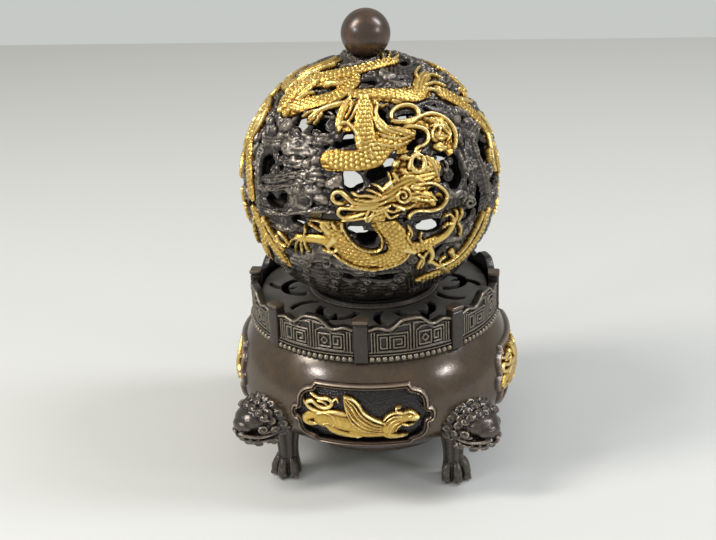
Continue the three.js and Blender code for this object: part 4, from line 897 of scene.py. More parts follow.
# %% Draw the clouds
CLOUDS = read_strokes("""\
bulge 2.7 2.5 1.5: -53.2 38.8, -50.6 39.1 | -19.1 18.8, -17.8 18.8 | -26.4 10.7, -25.1 10.7
bulge 3.3 3 1.5: -44.2 36.9, -41.7 37.1
bulge 1.6 1.5 1.5: -43.3 31.9, -42.1 32
bulge 1.4 1.2 1.5: -39.1 32.6, -38.1 32.7
bulge 4.2 3.8 1.5: -36 29.2, -33.4 29.3
bulge 1.8 1.6 1.5: -27.3 29.4, -26.3 29.4 | -21.8 27.9, -20.9 27.9 | -31.4 23.5, -30.4 23.5 | -52.3 33.5,
  -50.8 33.7 | -19.2 24.9, -18.4 24.9 | -28.2 35.2, -27.2 35.3
bulge 2 1.8 1.5: -25.2 32.9, -24.1 32.9 | -23.6 22.6, -22.6 22.6 | -60.5 35.9, -58.2 36.2 | -15.6 15.8,
  -14.7 15.8
bulge 2.3 2.1 1.5: -28.2 22, -27 22 | -26.2 14.3, -25 14.3 | -17.7 12.2, -16.7 12.2
bulge 1.9 1.7 1.5: -24.1 17.6, -23.2 17.6
bulge 2.5 2.2 1.5: -30.6 10.5, -29.4 10.6 | -21.4 11.3, -20.2 11.3
bulge 4.5 4.1 1.5: -26 6.5, -23.9 6.5
bulge 3 2.7 1.5: -15.7 8.3, -14.4 8.3
streaks 2.2 1.4 1: -50.9 11.2, -38.1 14, -27.2 17.9, -16.7 21.5
streaks 1.6 1.2 1.1: -50.3 7.4, -37.6 10.3, -28.7 13.1, -18.9 15.2
lobe 2 1.6 1.2: -36.4 25.7, -28.5 27.7, -20.6 26.9
streaks 2 1.6 0.9: -36.1 21.1, -26.1 23, -17.2 24.7 | 58.5 39.4, 59.2 33.5, 60.9 27.5
lobe 3.6 3 1.5: -11.6 15.4, -6.3 16.1, -2.5 15
rib 0.8 0.7 1.5: -16.8 18.2, -18.1 16, -20.8 15.5, -22.6 17, -22.2 18.9, -20.4 19.7, -18.7 19, -18.5 17.7,
  -19.5 16.8, -20.7 17, -21.1 17.8 | -24 25.3, -26.9 26.1, -28.1 28.2, -26.8 29.9, -24.3 30.1, -22.6 28.9,
  -22.7 27.5, -24.1 26.8, -25.6 27.1, -26.1 28, -25.5 28.7
lobe 2.6 2.6 1.1: -25.2 6.6, -22.8 6.5
rib 0.9 0.7 1.5: -28.3 6.1, -26.2 9.5, -22.3 10.5, -19.7 8.6, -20.1 5.7, -22.8 4, -25.4 4.7, -26 6.7,
  -24.5 8.4, -22.5 8.6, -21.6 7.5, -22.1 6.3 | 48.8 1.5, 50.7 3.2, 54.3 2.6, 56.7 0.3, 56.2 -1.6,
  53.6 -1.8, 51.4 -0.4, 50.9 1.1, 52.2 1.7, 53.8 1.2, 54.5 0.2, 54 -0.3
streaks 1.8 1.2 1: -45.9 -2.1, -32.7 0.5, -21.4 2.9, -12.3 4.2, -7.2 2.5
streaks 2 1.4 0.9: -38.5 -6.6, -31.4 -6.9, -26.8 -4.1
lobe 4.2 3.4 1: -34.9 -24.3, -22.6 -19.1, -12.2 -15.5
rib 0.7 0.6 1.4: -29 -22.7, -25.7 -20.1, -23.3 -20.5, -23.5 -23.1, -25.8 -25.3, -27.9 -25.5, -27.9 -23.8,
  -26.5 -22.2, -25.2 -21.9, -25 -22.8 | -17.7 -20.5, -15.1 -18.3, -13 -18.9, -13 -21.3, -14.7 -23.3,
  -16.4 -23.2, -16.6 -21.6, -15.6 -20.2, -14.6 -20.1, -14.3 -20.9
lobe 2.4 1.8 0.8: -12.9 -19.9, -5.9 -22.6, 1.2 -26.1
lobe 2.2 1.6 1.4: 57.8 30.1, 55.1 25.3
streaks 2.2 1.8 1.1: 64.2 24.9, 65.4 15.7, 67.6 6.2, 69.3 -3.3
streaks 1.4 1.2 1: 51.9 23.5, 53.4 17.9, 54.1 11.8
rib 0.8 0.7 1.4: 59.9 15.4, 57.1 14.2, 53.8 15, 52.7 16.8, 54.3 18.1, 56.7 17.7, 57.8 16.5, 56.9 15.6,
  55.4 15.7, 54.8 16.4 | 99.1 51, 86.7 51.8, 79.2 52.8, 76.8 54.2, 80.5 55.6, 89.9 55.8, 104.6 53.1,
  109.9 50.2, 99.1 51 | 96 44.2, 83.7 44.8, 75.9 45.7, 73.1 47.4, 76 49.3, 84.8 49.9, 98.1 47.7, 106.4 44,
  96 44.2
lobe 2.2 1.8 0.9: 39.3 7.2, 45.6 6.2, 51.5 4.7
lobe 1.8 1.4 0.8: 41.1 -14.5, 48.3 -15, 54.3 -12.9, 56.5 -10.3
lobe 3.2 2.8 1.2: 38.4 19.4, 40.6 17.4
rib 0.8 0.6 1.6: 42.1 21.6, 43.3 18.5, 41.1 16.2, 37.7 16.2, 35.8 18.1, 36.3 20.3, 38.7 21, 40.6 20.1,
  40.8 18.6, 39.6 17.7, 38.3 18, 37.8 18.8
lobe 3 2.4 1: 24.3 68.7, 33.4 62.3, 38.3 56.2
streaks 2 1.6 1: -34.1 69.8, -14.2 75.1, 26.5 80.4, 117.3 76
streaks 2.2 1.8 1: 99.7 76.2, 91.5 66.3, 89.6 56.5, 89.6 47.9
lobe 1.8 1.6 1: -6.2 60.4, 3.9 61, 11.8 58.4
streaks 1.8 1.4 1: -91.1 39.5, -72.6 35.6, -59.2 30, -52.6 26
lobe 2.6 2 1.1: -50.7 36.5, -39.1 37.6
rib 0.8 0.6 1.4: -41.9 39.9, -42.5 37.4, -46.9 36.5, -51.4 37.8, -52.1 39.8, -48.8 40.8, -45.4 40.1,
  -44.6 38.7, -46.2 38, -48.2 38.3
streaks 2.4 1.8 0.9: -55.8 27.1, -41.2 29.6, -28.9 31.9, -12.6 32.9
streaks 2.2 1.8 0.9: 80.5 40.5, 76 33.3, 75.2 25.7, 78.5 21
streaks 1.6 1.2 0.9: 55.7 22.6, 56.1 13.8, 57.1 5.8 | 36.8 -24.1, 41.9 -17.7, 51 -19.5
lobe 1.6 1.2 0.9: 45 46, 50.6 43.5, 57.9 40.5
streaks 1.8 1.6 0.8: 13.8 25, 18.5 26.2, 22.5 27.5""")
print("cloud strokes:", len(CLOUDS))

# %% Draw the arched dragon where it runs down the side
SIDE = read_strokes("""\
ground 3.6 3 0.6: -56 50, -48 43, -41 35, -36 26, -32 14, -30 4
scales 3.4 3.4 1.9: -57 51, -50 45, -43 37, -38 28
scales 3.2 2.6 1.9: -37 27, -33 17, -30.5 9, -29.5 3
bulge 2 1.4 2.3: -44 42, -38 40 | -37 22, -41 17
rib 0.9 0.5 2.3: -38 40, -34 42, -31 46 | -38 40, -33 38, -29 38 | -41 17, -45 17, -47 13 | -41 17,
  -43 12, -42 7
rib 0.8 0.6 2.3: -35 33, -30 27, -27 20""")
print("strokes down the side:", len(SIDE))


# %% Places on the ball
def on_ball(lon, lat, radius=1.0):
    """Points about the ball's centre from longitude and latitude in degrees."""
    a, b = np.radians(lon), np.radians(lat)
    return np.stack([np.cos(b) * np.sin(a), -np.cos(b) * np.cos(a), np.sin(b)], -1) * radius


def ball_route(places, turn=0.0):
    """Smooth route over the ball through (longitude, latitude) places."""
    p = np.array(places, float)
    route = smooth_route(on_ball(p[:, 0] + turn, p[:, 1], DRAW_R), 0.9)
    return route / np.linalg.norm(route, axis=1)[:, None] * DRAW_R


DRAW_R = 58.0  # the strokes are measured on a sphere of this radius
CENTRE = np.array([0, 0, BALL_Z])


def ball_chart(out):
    """Equal area map of the ball about a direction: x and y in mm to directions."""
    out = np.array(out, float) / np.linalg.norm(out)
    east = np.array([1.0, 0, 0]) if abs(out[2]) > 0.99 else np.array([-out[1], out[0], 0])
    east = east / np.linalg.norm(east)
    north = np.cross(out, east)

    def direction(x, y):
        r = np.hypot(x, y) / DRAW_R
        tilt = 2 * np.arcsin(np.clip(r / 2, 0, 0.999))
        swing = np.divide(np.sin(tilt), r, out=np.ones_like(r), where=r > 1e-9) / DRAW_R
        return (np.cos(tilt)[..., None] * out + (x * swing)[..., None] * east
                + (y * swing)[..., None] * north)
    return direction


print("a degree on the ball is", round(math.radians(DRAW_R), 2), "mm")

# %% Measure the depth in the openings, and carve the skin between them
def openings(points, turns, holes):
    """How far each point lies inside an opening, in mm. Each opening is an
    ellipse whose edge wavers a little, as a sawn and filed one does."""
    depth = np.full(len(points), -9.0)
    for turn in turns:
        for k, (lon, lat, wide, high, tilt) in enumerate(holes):
            out = on_ball(lon + turn, lat)
            near = np.flatnonzero(points @ out > DRAW_R * math.cos(max(wide, high) / 40))
            east = np.array([-out[1], out[0], 0]) / math.hypot(out[0], out[1])
            north = np.cross(out, east)
            t = math.radians(tilt)
            x, y = points[near] @ east, points[near] @ north
            u = (x * math.cos(t) + y * math.sin(t)) / (wide / 2)
            v = (y * math.cos(t) - x * math.sin(t)) / (high / 2)
            angle = np.arctan2(v, u)
            edge = 1 + 0.10 * np.sin(3 * angle + k) + 0.06 * np.sin(5 * angle + 2 * k)
            inside = (edge - np.hypot(u, v)) * min(wide, high) / 2
            depth[near] = np.maximum(depth[near], inside)
    return depth


GOLDEN_TURN, GOLDEN_SHARE = 2.39996, 0.6180  # steps that never fall into rows


def carving(points, edge, pitch, lift, heads):
    """Carved skin over the ball, as a height. Lines a pitch apart run level on
    one part of a turn and upright on the other, and close to an opening, edge mm
    away, they follow its outline. Round heads with a spiral groove lie over them
    on a sunflower lattice; their reach is 1.1 to 1.9 pitches. The second result
    says how far a point lies inside a head."""
    x = np.arctan2(points[:, 0], -points[:, 1]) * np.hypot(points[:, 0], points[:, 1])
    z = points[:, 2]
    third = (np.degrees(x / np.maximum(np.hypot(points[:, 0], points[:, 1]), 1e-6)) + 60) % 120 - 60
    sway = 1.3 * np.sin(x / 3.3 + z / 5.1) + 0.8 * np.sin(x / 1.9 - z / 2.7)
    across = np.where(third + 9 * np.sin(z / 5) > 18, x, z)
    lines = 0.5 + 0.5 * np.cos(2 * np.pi * across / pitch + sway)
    rims = 0.5 + 0.5 * np.cos(2 * np.pi * (edge - 0.6 * pitch) / pitch)
    near = np.exp(-(edge / (1.6 * pitch)) ** 2)
    height = lift * 0.5 * ((1 - near) * lines + near * rims)
    inside = np.full(len(points), -9.0)
    middle = points.mean(0) / np.linalg.norm(points.mean(0))
    for k in range(heads):
        lat = math.asin(-0.95 + 1.9 * (k + 0.5) / heads)
        reach = pitch * (1.1 + 0.8 * ((k * GOLDEN_SHARE) % 1))
        for turn in (0, 120, 240):
            out = on_ball(math.degrees(k * GOLDEN_TURN) % 120 - 60 + turn, math.degrees(lat))
            if out @ middle < 0.2:
                continue
            at = np.flatnonzero(points @ out > DRAW_R * math.cos(reach / DRAW_R))
            east = np.array([-out[1], out[0], 0]) / math.hypot(out[0], out[1])
            u, v = points[at] @ east, points[at] @ np.cross(out, east)
            gap = np.hypot(u, v)
            spiral = np.cos(2 * np.pi * gap / (0.72 * pitch) - np.arctan2(v, u) * (1 if k % 2 else -1))
            dome = np.sqrt(np.clip(1 - (gap / reach) ** 2, 0, 1))
            height[at] = np.maximum(height[at], lift * dome * (0.8 + 0.2 * spiral))
            inside[at] = np.maximum(inside[at], reach - gap)
    return height, inside


def seam_side(points, side):
    """Distance in mm on the upper (+1) or lower (-1) side of the ball's seam."""
    return side * np.arcsin(np.clip(points[:, 2] / DRAW_R, -1, 1)) * DRAW_R - 0.2


first_hole = on_ball(*HOLES[0][:2], DRAW_R)[None]
print("middle of the first opening:", round(openings(first_hole, (0,), HOLES)[0], 2), "mm inside")


# %% [markdown]
# The gilt dragons lie over the shell as a second layer. Their bodies bridge the
# openings where the real ones do, so an opening cuts their thin ground only.

# %% Make the gilt dragons
def gilt_relief(name, strokes, side, step=0.46):
    """One dragon's relief as a closed piece on its half of the ball."""
    places = np.concatenate([on_ball(*np.array(s[4], float).T) for s in strokes])
    out = places.mean(0)
    out = out / np.linalg.norm(out)
    reach = DRAW_R * np.arccos(np.clip(places @ out, -1, 1)).max() + 6
    direction = ball_chart(out)
    x, y = grid(-reach, reach, -reach, reach, step)
    points = direction(x.ravel(), y.ravel()) * DRAW_R
    height, ground, inside = draw(points, points, strokes, ball_route)
    edge = -openings(points, (0,), HOLES)
    skin_height, _ = carving(points, np.clip(edge, 0, 9), 1.7, 0.95, 420)
    height = np.where(inside < 0, 0.3 + skin_height, np.maximum(height, 0.2 + skin_height))
    mask = np.maximum(np.minimum(ground, edge), inside)
    mask = np.minimum(mask, seam_side(points, side))
    return sheet(
        name, x, y, mask.reshape(x.shape), height.reshape(x.shape),
        lambda px, py, ph: CENTRE + direction(px, py) * (BALL_R + 0.1 + ph)[:, None],
        lambda px, py: CENTRE + direction(px, py) * (BALL_R - 0.15), 0.1, 2.2, 50)


# the first piece of a row is made from its strokes and the others are copies of
# it; the arched dragon lies across the crown once, and at the other two turns it
# runs down the side instead
DRAGONS = {"mane_dragon": (MANE, MANE, 1), "rising_dragon": (RISING, RISING, 1),
           "arched_dragon": (ARCHED, SIDE, 1), "coiled_dragon": (COILED, COILED, -1),
           "banded_dragon": (BANDED, BANDED, -1)}
for name, (first, later, side) in DRAGONS.items():
    body = "crown" if side > 0 else "cover"
    piece = gilt_relief(f"gilt_{name}_relief_1", first, side)
    dress(piece, body, "gilt_bronze", gilding, nodes=[f"gilt_{name}_1"])
    model = piece if later is first else gilt_relief("later_turn", later, side)
    for i in (2, 3):
        copy = turned_copy(model, f"gilt_{name}_relief_{i}", 120 * (i - 1))
        dress(copy, body, "gilt_bronze", gilding, nodes=[f"gilt_{name}_{i}"])
    if model is not piece:
        bpy.data.objects.remove(model)
    print(name, len(piece.data.polygons), "faces")
for name, drawn, side in (("column", COLUMN, 1), ("tail", TAIL, -1)):
    piece = gilt_relief(f"gilt_{name}_relief", drawn, side)
    dress(piece, "crown" if side > 0 else "cover", "gilt_bronze", gilding)
    print(name, len(piece.data.polygons), "faces")

# %% [markdown]
# The shells carry the clouds. Streaked bundles, lobes and curled heads stand up
# from a ground of carved lines, and where a gilt dragon lies the shell stays
# plain and a little low, so that the two layers never run through each other.
# Each shell is drawn in three sectors, which keeps every mesh fine but light;
# they share their edges, so the bronze runs on without a joint.

# %% Make the two cloud shells
def cloud_sector(name, side, index, step=0.56):
    """A third of half the ball, drawn on a map about its own middle."""
    turn = 120 * index
    direction = ball_chart(on_ball(turn, 38 * side))
    x, y = grid(-57, 57, -52, 52, step)
    points = direction(x.ravel(), y.ravel()) * DRAW_R
    depth = openings(points, (turn - 120, turn, turn + 120), HOLES)
    edge = np.clip(-depth, 0, 9)
    skin_height, head = carving(points, edge, 2.3, 1.5, 150)
    plain = np.clip((np.degrees(np.arcsin(points[:, 2] / DRAW_R)) + 52) / 7, 0, 1)
    height = -0.45 + skin_height * plain
    clouds = np.full(len(points), -9.0)
    gilt = np.full(len(points), -9.0)
    for k in (-1, 0, 1):
        turned = lambda places: ball_route(places, turn + 120 * k)
        rise, _, inside = draw(points, points, CLOUDS, turned)
        height = np.where(inside > -0.3, np.maximum(height * 0.6 + rise, -0.6), height)
        clouds = np.maximum(clouds, inside)
        first = (index + k) % 3 == 0
        below = [s for rows in DRAGONS.values() for s in rows[0 if first else 1]]
        _, flat, raised = draw(points, points, below + (COLUMN + TAIL if first else []), turned)
        gilt = np.maximum(gilt, np.maximum(flat, raised))
    eased = 0.7 * (1 - np.clip(edge / 0.8, 0, 1)) ** 2
    height = np.where(gilt > -0.5, -0.25, np.maximum(height - eased, -0.6))
    far = openings(points, (0,), CLEAR_HOLES)
    mask = np.maximum(-depth, np.maximum(clouds, np.minimum(head, 3.5 - edge) - 0.9))
    mask = np.minimum(np.minimum(mask, -far), seam_side(points, side))
    mouth = 2.7 if side > 0 else BALL_MOUTH + 0.2
    mask = np.minimum(mask, np.linalg.norm(points[:, :2], axis=1) - mouth * DRAW_R / BALL_R)
    for end in (-60, 60):
        plane = np.sign(end) * on_ball(turn + end + 90, 0)
        mask = np.minimum(mask, 0.02 - points @ plane)
    piece = sheet(
        f"{name}_{index + 1}", x, y, mask.reshape(x.shape), height.reshape(x.shape),
        lambda px, py, ph: CENTRE + direction(px, py) * (BALL_R + ph)[:, None],
        lambda px, py: CENTRE + direction(px, py) * (BALL_R - BALL_WALL), -0.6, 1.5, 45)
    node = f"ball_{name.split('_')[-1]}_shell"
    dress(piece, "crown" if side > 0 else "cover", "dark_bronze", cloud_bronze, nodes=[node])
    print(piece.name, len(piece.data.polygons), "faces")


for index in range(3):
    cloud_sector("cloud_shell_upper", 1, index)
    cloud_sector("cloud_shell_lower", -1, index)

# %% [markdown]
# ## The fence
# Eight panels stand between eight posts on the shoulder. A panel is a curved
# plate with a bracket shaped top edge, a fret of raised lines and a row of
# beads along its foot. The fret is drawn with thin strokes on the flat of the
# panel, and the plate is then bent to its radius.

# %% Lay out a panel and its fret
PANEL_MID = (PANEL_IN + PANEL_OUT) / 2
PANEL_HALF = (math.pi / POSTS - (POST_W / 2 - 1.1) / PANEL_MID) * PANEL_OUT  # mm along the face
PANEL_STEP, FRET_STOP = 0.27, 18.95  # grid of the panel, and where its face runs behind the post
RAIL_TOP, BEAD_PITCH, BEAD_R, BEAD_Y = 4.3, 2.75, 1.3, 2.0


def panel_top(x):
    """Height of the top edge over the shoulder: a wide hump in the middle and a
    small one on each side."""
    p = np.abs(x) / PANEL_HALF
    side = 1.1 * np.cos(np.pi * (p - 0.74) / 0.5) ** 2
    return 16.2 + np.maximum(4.4 * np.exp(-(p / 0.36) ** 4), np.where(p > 0.49, side, 0))


def box_line(x0, x1, y0, y1):
    """Corner points of a rectangle, closed."""
    return [(x0, y0), (x1, y0), (x1, y1), (x0, y1), (x0, y0)]


FRET = [box_line(-15.3, -2.0, 5.5, 13.6), box_line(-14.0, -11.2, 6.9, 12.2),
        [(-9.9, 6.9), (-9.9, 12.3), (-3.3, 12.3), (-3.3, 6.9), (-8.3, 6.9), (-8.3, 10.9), (-4.7, 10.9),
         (-4.7, 8.4), (-6.6, 8.4)],
        [(2.0, 5.5), (15.3, 5.5), (15.3, 13.6), (9.6, 13.6), (7.6, 15.6), (4.4, 15.6), (2.0, 14.0),
         (2.0, 5.5)],
        box_line(3.3, 9.0, 6.9, 12.9), [(4.6, 9.9), (6.1, 8.2), (7.7, 9.9), (6.1, 11.6), (4.6, 9.9)],
        [(10.4, 6.9), (14.0, 6.9), (14.0, 12.3), (10.4, 12.3), (10.4, 8.4), (12.4, 8.4), (12.4, 10.8)],
        [(-0.75, 5.2), (-0.75, 17.4)], [(0.75, 5.2), (0.75, 17.4)],
        [(-16.6, 5.2), (-16.6, 14.4)], [(-17.9, 5.2), (-17.9, 14.4)],
        [(16.6, 5.2), (16.6, 14.4)], [(17.9, 5.2), (17.9, 14.4)],
        [(-9.6, 14.4), (-7.4, 16.6), (-4.0, 17.3), (-0.8, 17.4)],
        [(9.6, 14.4), (7.4, 16.9), (4.0, 17.6), (0.8, 17.6)],
        [(-19.0, 5.0), (19.0, 5.0)]]


def fret_height(x, y):
    """Rounded ridge 0.95 mm high over every fret line; corners stay square."""
    near = np.full(x.shape, 9.0)
    for line in FRET:
        for (x0, y0), (x1, y1) in zip(line[:-1], line[1:]):
            dx, dy = x1 - x0, y1 - y0
            t = np.clip(((x - x0) * dx + (y - y0) * dy) / (dx * dx + dy * dy), 0, 1)
            near = np.minimum(near, np.hypot(x - x0 - t * dx, y - y0 - t * dy))
    return np.sqrt(np.clip(1 - (near / 0.55) ** 2, 0, 1)) * 0.95


print("panel:", round(2 * PANEL_HALF, 1), "mm wide,", len(FRET), "fret lines")

# %% Make the fence panels
def make_panel():
    """Plate ground, rim line, fret, rail and beads as one height over the face."""
    x, y = grid(-PANEL_HALF, PANEL_HALF, 0.3, 21.0, PANEL_STEP)
    top = panel_top(x)
    slope = np.gradient(top, axis=1) / PANEL_STEP
    below = (top - y) / np.sqrt(1 + slope ** 2)
    inside = np.minimum(np.minimum(below, y - 0.3), PANEL_HALF - np.abs(x))
    rim = np.sqrt(np.clip(1 - ((below - 0.75) / 0.75) ** 2, 0, 1))
    height = np.maximum(-0.75 + fret_height(x, y), -0.75 + 1.25 * rim)
    line = np.sqrt(np.clip(1 - ((below - 2.4) / 0.35) ** 2, 0, 1))
    height = np.maximum(height, -0.75 + 0.7 * line)
    row = (x / BEAD_PITCH) % 1 - 0.5
    bead = np.sqrt(np.clip(1 - (np.hypot(row * BEAD_PITCH, y - BEAD_Y) / BEAD_R) ** 2, 0, 1))
    rail = np.where(y < RAIL_TOP, -0.3 + 0.8 * (y > 3.6), -9)
    height = np.maximum(height, np.maximum(rail, np.where(bead > 0, 1.5 * bead - 0.1, -9)))
    stop = FRET_STOP * (1 + 0.7 / PANEL_OUT)
    height = np.where(np.abs(x) > stop, np.minimum(height, -0.6), height)

    def front(px, py, ph):
        a, r = px / PANEL_OUT + math.pi / POSTS, PANEL_OUT + ph
        return np.stack([r * np.sin(a), -r * np.cos(a), SHOULDER_Z + py], -1)

    back = lambda px, py: front(px, py, PANEL_IN - PANEL_OUT)
    return sheet("fret_panel_1", x, y, inside, height, front, back, -0.75, 0.5, 50)


panel, ROW = make_panel(), range(1, POSTS + 1)
dress_round(panel, 360 / POSTS, [f"fret_panel_{i}" for i in ROW], [f"fence_panel_{i}" for i in ROW],
            "base", "dark_bronze", fret_bronze)
print("panel", len(panel.data.polygons), "faces")


# %% Make the posts
def ring_skin(rings):
    """Points of a stack of rings with the middle of each end, the quads between
    the rings, and the fans that close the ends."""
    n, m = rings.shape[:2]
    ids = np.arange(n * m).reshape(n, m)
    side = np.roll(ids, -1, axis=1)
    quads = np.stack([ids[:-1], side[:-1], side[1:], ids[1:]], -1).reshape(-1, 4)
    fans = np.concatenate([np.stack([side[0], ids[0], np.full(m, n * m)], 1),
                           np.stack([ids[-1], side[-1], np.full(m, n * m + 1)], 1)])
    return np.concatenate([rings.reshape(-1, 3), rings[[0, -1]].mean(1)]), quads, fans


def rounded_box(half_w, half_d, corner, n=5):
    """Plan of a rectangle with round corners, counterclockwise."""
    t = np.linspace(0, np.pi / 2, n)
    arc = np.stack([np.cos(t), np.sin(t)], 1) * corner
    out = []
    for k, (sx, sy) in enumerate([(1, 1), (-1, 1), (-1, -1), (1, -1)]):
        c, s = [(1, 0), (0, 1), (-1, 0), (0, -1)][k]
        turned_arc = np.stack([arc[:, 0] * c - arc[:, 1] * s, arc[:, 0] * s + arc[:, 1] * c], 1)
        out.append(turned_arc + [sx * (half_w - corner), sy * (half_d - corner)])
    return np.concatenate(out)


def make_post():
    """Shaft with soft edges, a neck under the cap and a flat cap with a small lip."""
    back, foot = NECK_R + 0.3, SHOULDER_Z + 0.3
    steps = read_rows("0 -0.3, 0.4 0, 17.4 0, 17.7 -0.35, 18.1 -0.35, 18.4 0, 18.8 0.25, 19.5 0.3, "
                      "19.8 0.25, 20.1 -0.1")
    rings = []
    for z, grow in steps:
        half_w, deep = POST_W / 2 + grow, POST_D + max(grow, -0.3)
        plan = rounded_box(half_w, deep / 2, 0.55)
        rings.append(np.column_stack([plan[:, 0], plan[:, 1] - back - deep / 2,
                                      np.full(len(plan), foot + z)]))
    points, quads, fans = ring_skin(np.array(rings))
    # the relief mark per ring: darker at the foot and in the neck under the cap as painted shade,
    # lightest on the cap, partly wear and partly painted highlight
    wear_and_painted_light = np.array([0.3, 0.5, 0.5, 0.3, 0.25, 0.5, 0.8, 1.0, 1.0, 0.8])
    wear_and_painted_light = np.append(np.repeat(wear_and_painted_light, len(rings[0])), wear_and_painted_light[[0, -1]])
    return new_mesh("fence_post_body_1", points, [quads, fans], {"relief": wear_and_painted_light}, 30)


post = make_post()
dress_round(post, 360 / POSTS, [f"fence_post_body_{i}" for i in ROW], [f"fence_post_{i}" for i in ROW],
            "base", "bronze", brown_bronze)
print("post", len(post.data.polygons), "faces")

# %% [markdown]
# ## Cover plate, ring foot and small ball
# The plate is sheet bronze, sawn with six broad arcs and six slim slots, so it
# goes through the same cutter, with the edges of every opening eased. The ring
# foot and the small ball were turned on a lathe.

# %% Make the cover plate
def make_plate():
    """Flat disc, cut by a mouth, by six arcs that open towards the ball, and by six
    bent slots between them."""
    x, y = grid(-PLATE_R, PLATE_R, -PLATE_R, PLATE_R, 0.8)
    r = np.hypot(x, y)
    inside = np.minimum(PLATE_R - r, r - PLATE_MOUTH)
    for i in range(6):
        for turn, kind in ((-22.5 + 60 * i, "petal"), (7.5 + 60 * i, "slot")):
            t = math.radians(turn)
            out = x * math.sin(t) - y * math.cos(t)
            side = x * math.cos(t) + y * math.sin(t)
            if kind == "petal":
                hole = np.minimum(1.75 - np.abs(np.hypot(out - 33.6, side) - 8.6), out - 31.5)
            else:
                wide = 1.6 * np.clip(1 - ((out - 38.5) / 7.5) ** 2, 0, 1) ** 0.2
                hole = np.where(wide > 0, wide - np.abs(np.hypot(out - 38.5, side - 11) - 11), -9)
            inside = np.minimum(inside, -hole)
    ease = -0.35 * (1 - np.clip(inside / 0.45, 0, 1)) ** 2
    flat = lambda px, py, z: np.stack([px, py, z + 0 * px], -1)
    return sheet("pierced_plate", x, y, inside, ease, lambda px, py, ph: flat(px, py, PLATE_TOP + ph),
                 lambda px, py: flat(px, py, PLATE_LOW), -0.35, 0.3, 50)


plate = dress(make_plate(), "cover", "black_bronze", black_plate, nodes=["cover_plate"])
lip_out = NECK_R - NECK_WALL - 0.3
lip = turned_piece("plate_lip", [[lip_out - 2, PLATE_LOW + 0.2], [lip_out - 2, RIM_Z - 3.1],
                                 [lip_out - 1.7, RIM_Z - 3.4], [lip_out - 0.4, RIM_Z - 3.4],
                                 [lip_out, RIM_Z - 3.0], [lip_out, PLATE_LOW + 0.2]], 160,
                   marks={"relief": lambda a, r, z: 0.3 + 0 * a})
dress(lip, "cover", "black_bronze", black_plate)
print("plate", len(plate.data.polygons), "faces")


# %% Turn the ring foot and the small ball
def make_ring():
    """Ring with a rounded outer bead, a groove under it and a seat for the ball."""
    seat = lambda r: BALL_Z - math.sqrt((BALL_R + 0.3) ** 2 - r * r)
    low = RING_LOW
    outer = [[RING_R - 0.5, low], [RING_R, low + 0.35], [RING_R, low + 0.8], [RING_R - 0.6, low + 1.05],
             [RING_R - 0.75, low + 1.4], [RING_R - 0.5, low + 1.7], [RING_R - 0.55, low + 2.1],
             [RING_R - 0.95, low + 2.45], [RING_R - 1.4, seat(RING_R - 1.4)]]
    inner = [[BALL_MOUTH + 1, seat(BALL_MOUTH + 1)], [24.9, low + 0.9], [24.5, low + 0.5], [24.7, low]]
    # the relief mark rises towards the outer bead: a painted highlight along the lit rim
    return turned_piece("ring_foot", outer + inner, 240, marks={
        "relief": lambda a, r, z: np.clip((r - RING_R + 1.2) / 1.0, 0.1, 1)})


def make_small_ball():
    """Ball on a stud that goes down through the crown of the big ball."""
    tilt = np.radians(np.linspace(-64, 90, 60))
    ball = np.stack([KNOB_R * np.cos(tilt), KNOB_Z + KNOB_R * np.sin(tilt)], 1)
    ball[-1, 0] = 0
    top = BALL_Z + BALL_R
    stud = [[0, top - BALL_WALL - 5.2], [2.0, top - BALL_WALL - 5.2], [2.4, top - BALL_WALL - 4.8],
            [2.4, top + 0.3]]
    return turned_piece("small_ball", stud + [[4.0, top + 0.35]] + ball.tolist(), 128, marks={
        "relief": lambda a, r, z: 0.6 + 0 * a}, sharp=50)


ring = dress(make_ring(), "cover", "black_bronze", ring_bronze, nodes=["ball_foot_ring"])
knob = dress(make_small_ball(), "crown", "polished_bronze", knob_bronze, nodes=["knob_ball"])
print("ring", len(ring.data.polygons), "small ball", len(knob.data.polygons), "faces")

# %% [markdown]
# ## The legs
# A leg is modelled in wax from many soft lumps and rolled curls, pressed into
# each other: a paw, a fluted shaft, and a beast mask with a smooth domed brow,
# teeth and a mane of hooked curls. So it is built from closed lumps and tapered
# tubes, joined by a voxel remesh, which is the nearest thing to pressing wax
# together. Places are sideways, outwards from the bowl's axis, and up.

# %% Eggs, rolls and curls
MASK_OUT, MASK_Z, FOOT_OUT = BELLY_R + 1, 35.5, BELLY_R - 11.5
MASK_SQUASH = 0.76  # the mask is pressed flat, wider than it is tall


def egg(centre, radii, lean=0.0, rows=12, cols=18):
    """Points and faces of an ellipsoid, leaned about the sideways axis."""
    lat = np.linspace(-np.pi / 2, np.pi / 2, rows)
    lon = np.arange(cols) * 2 * np.pi / cols
    la, lo = np.meshgrid(lat, lon, indexing="ij")
    p = np.stack([np.cos(la) * np.cos(lo), np.cos(la) * np.sin(lo), np.sin(la)], -1) * radii
    c, s = math.cos(math.radians(lean)), math.sin(math.radians(lean))
    p = np.stack([p[..., 0], p[..., 1] * c - p[..., 2] * s, p[..., 1] * s + p[..., 2] * c], -1)
    return skin((p + centre).reshape(rows, cols, 3))


def skin(rings):
    """Points and triangles of a closed skin over a stack of rings."""
    points, quads, fans = ring_skin(rings)
    return points, np.concatenate([quads[:, :3], quads[:, [0, 2, 3]], fans])


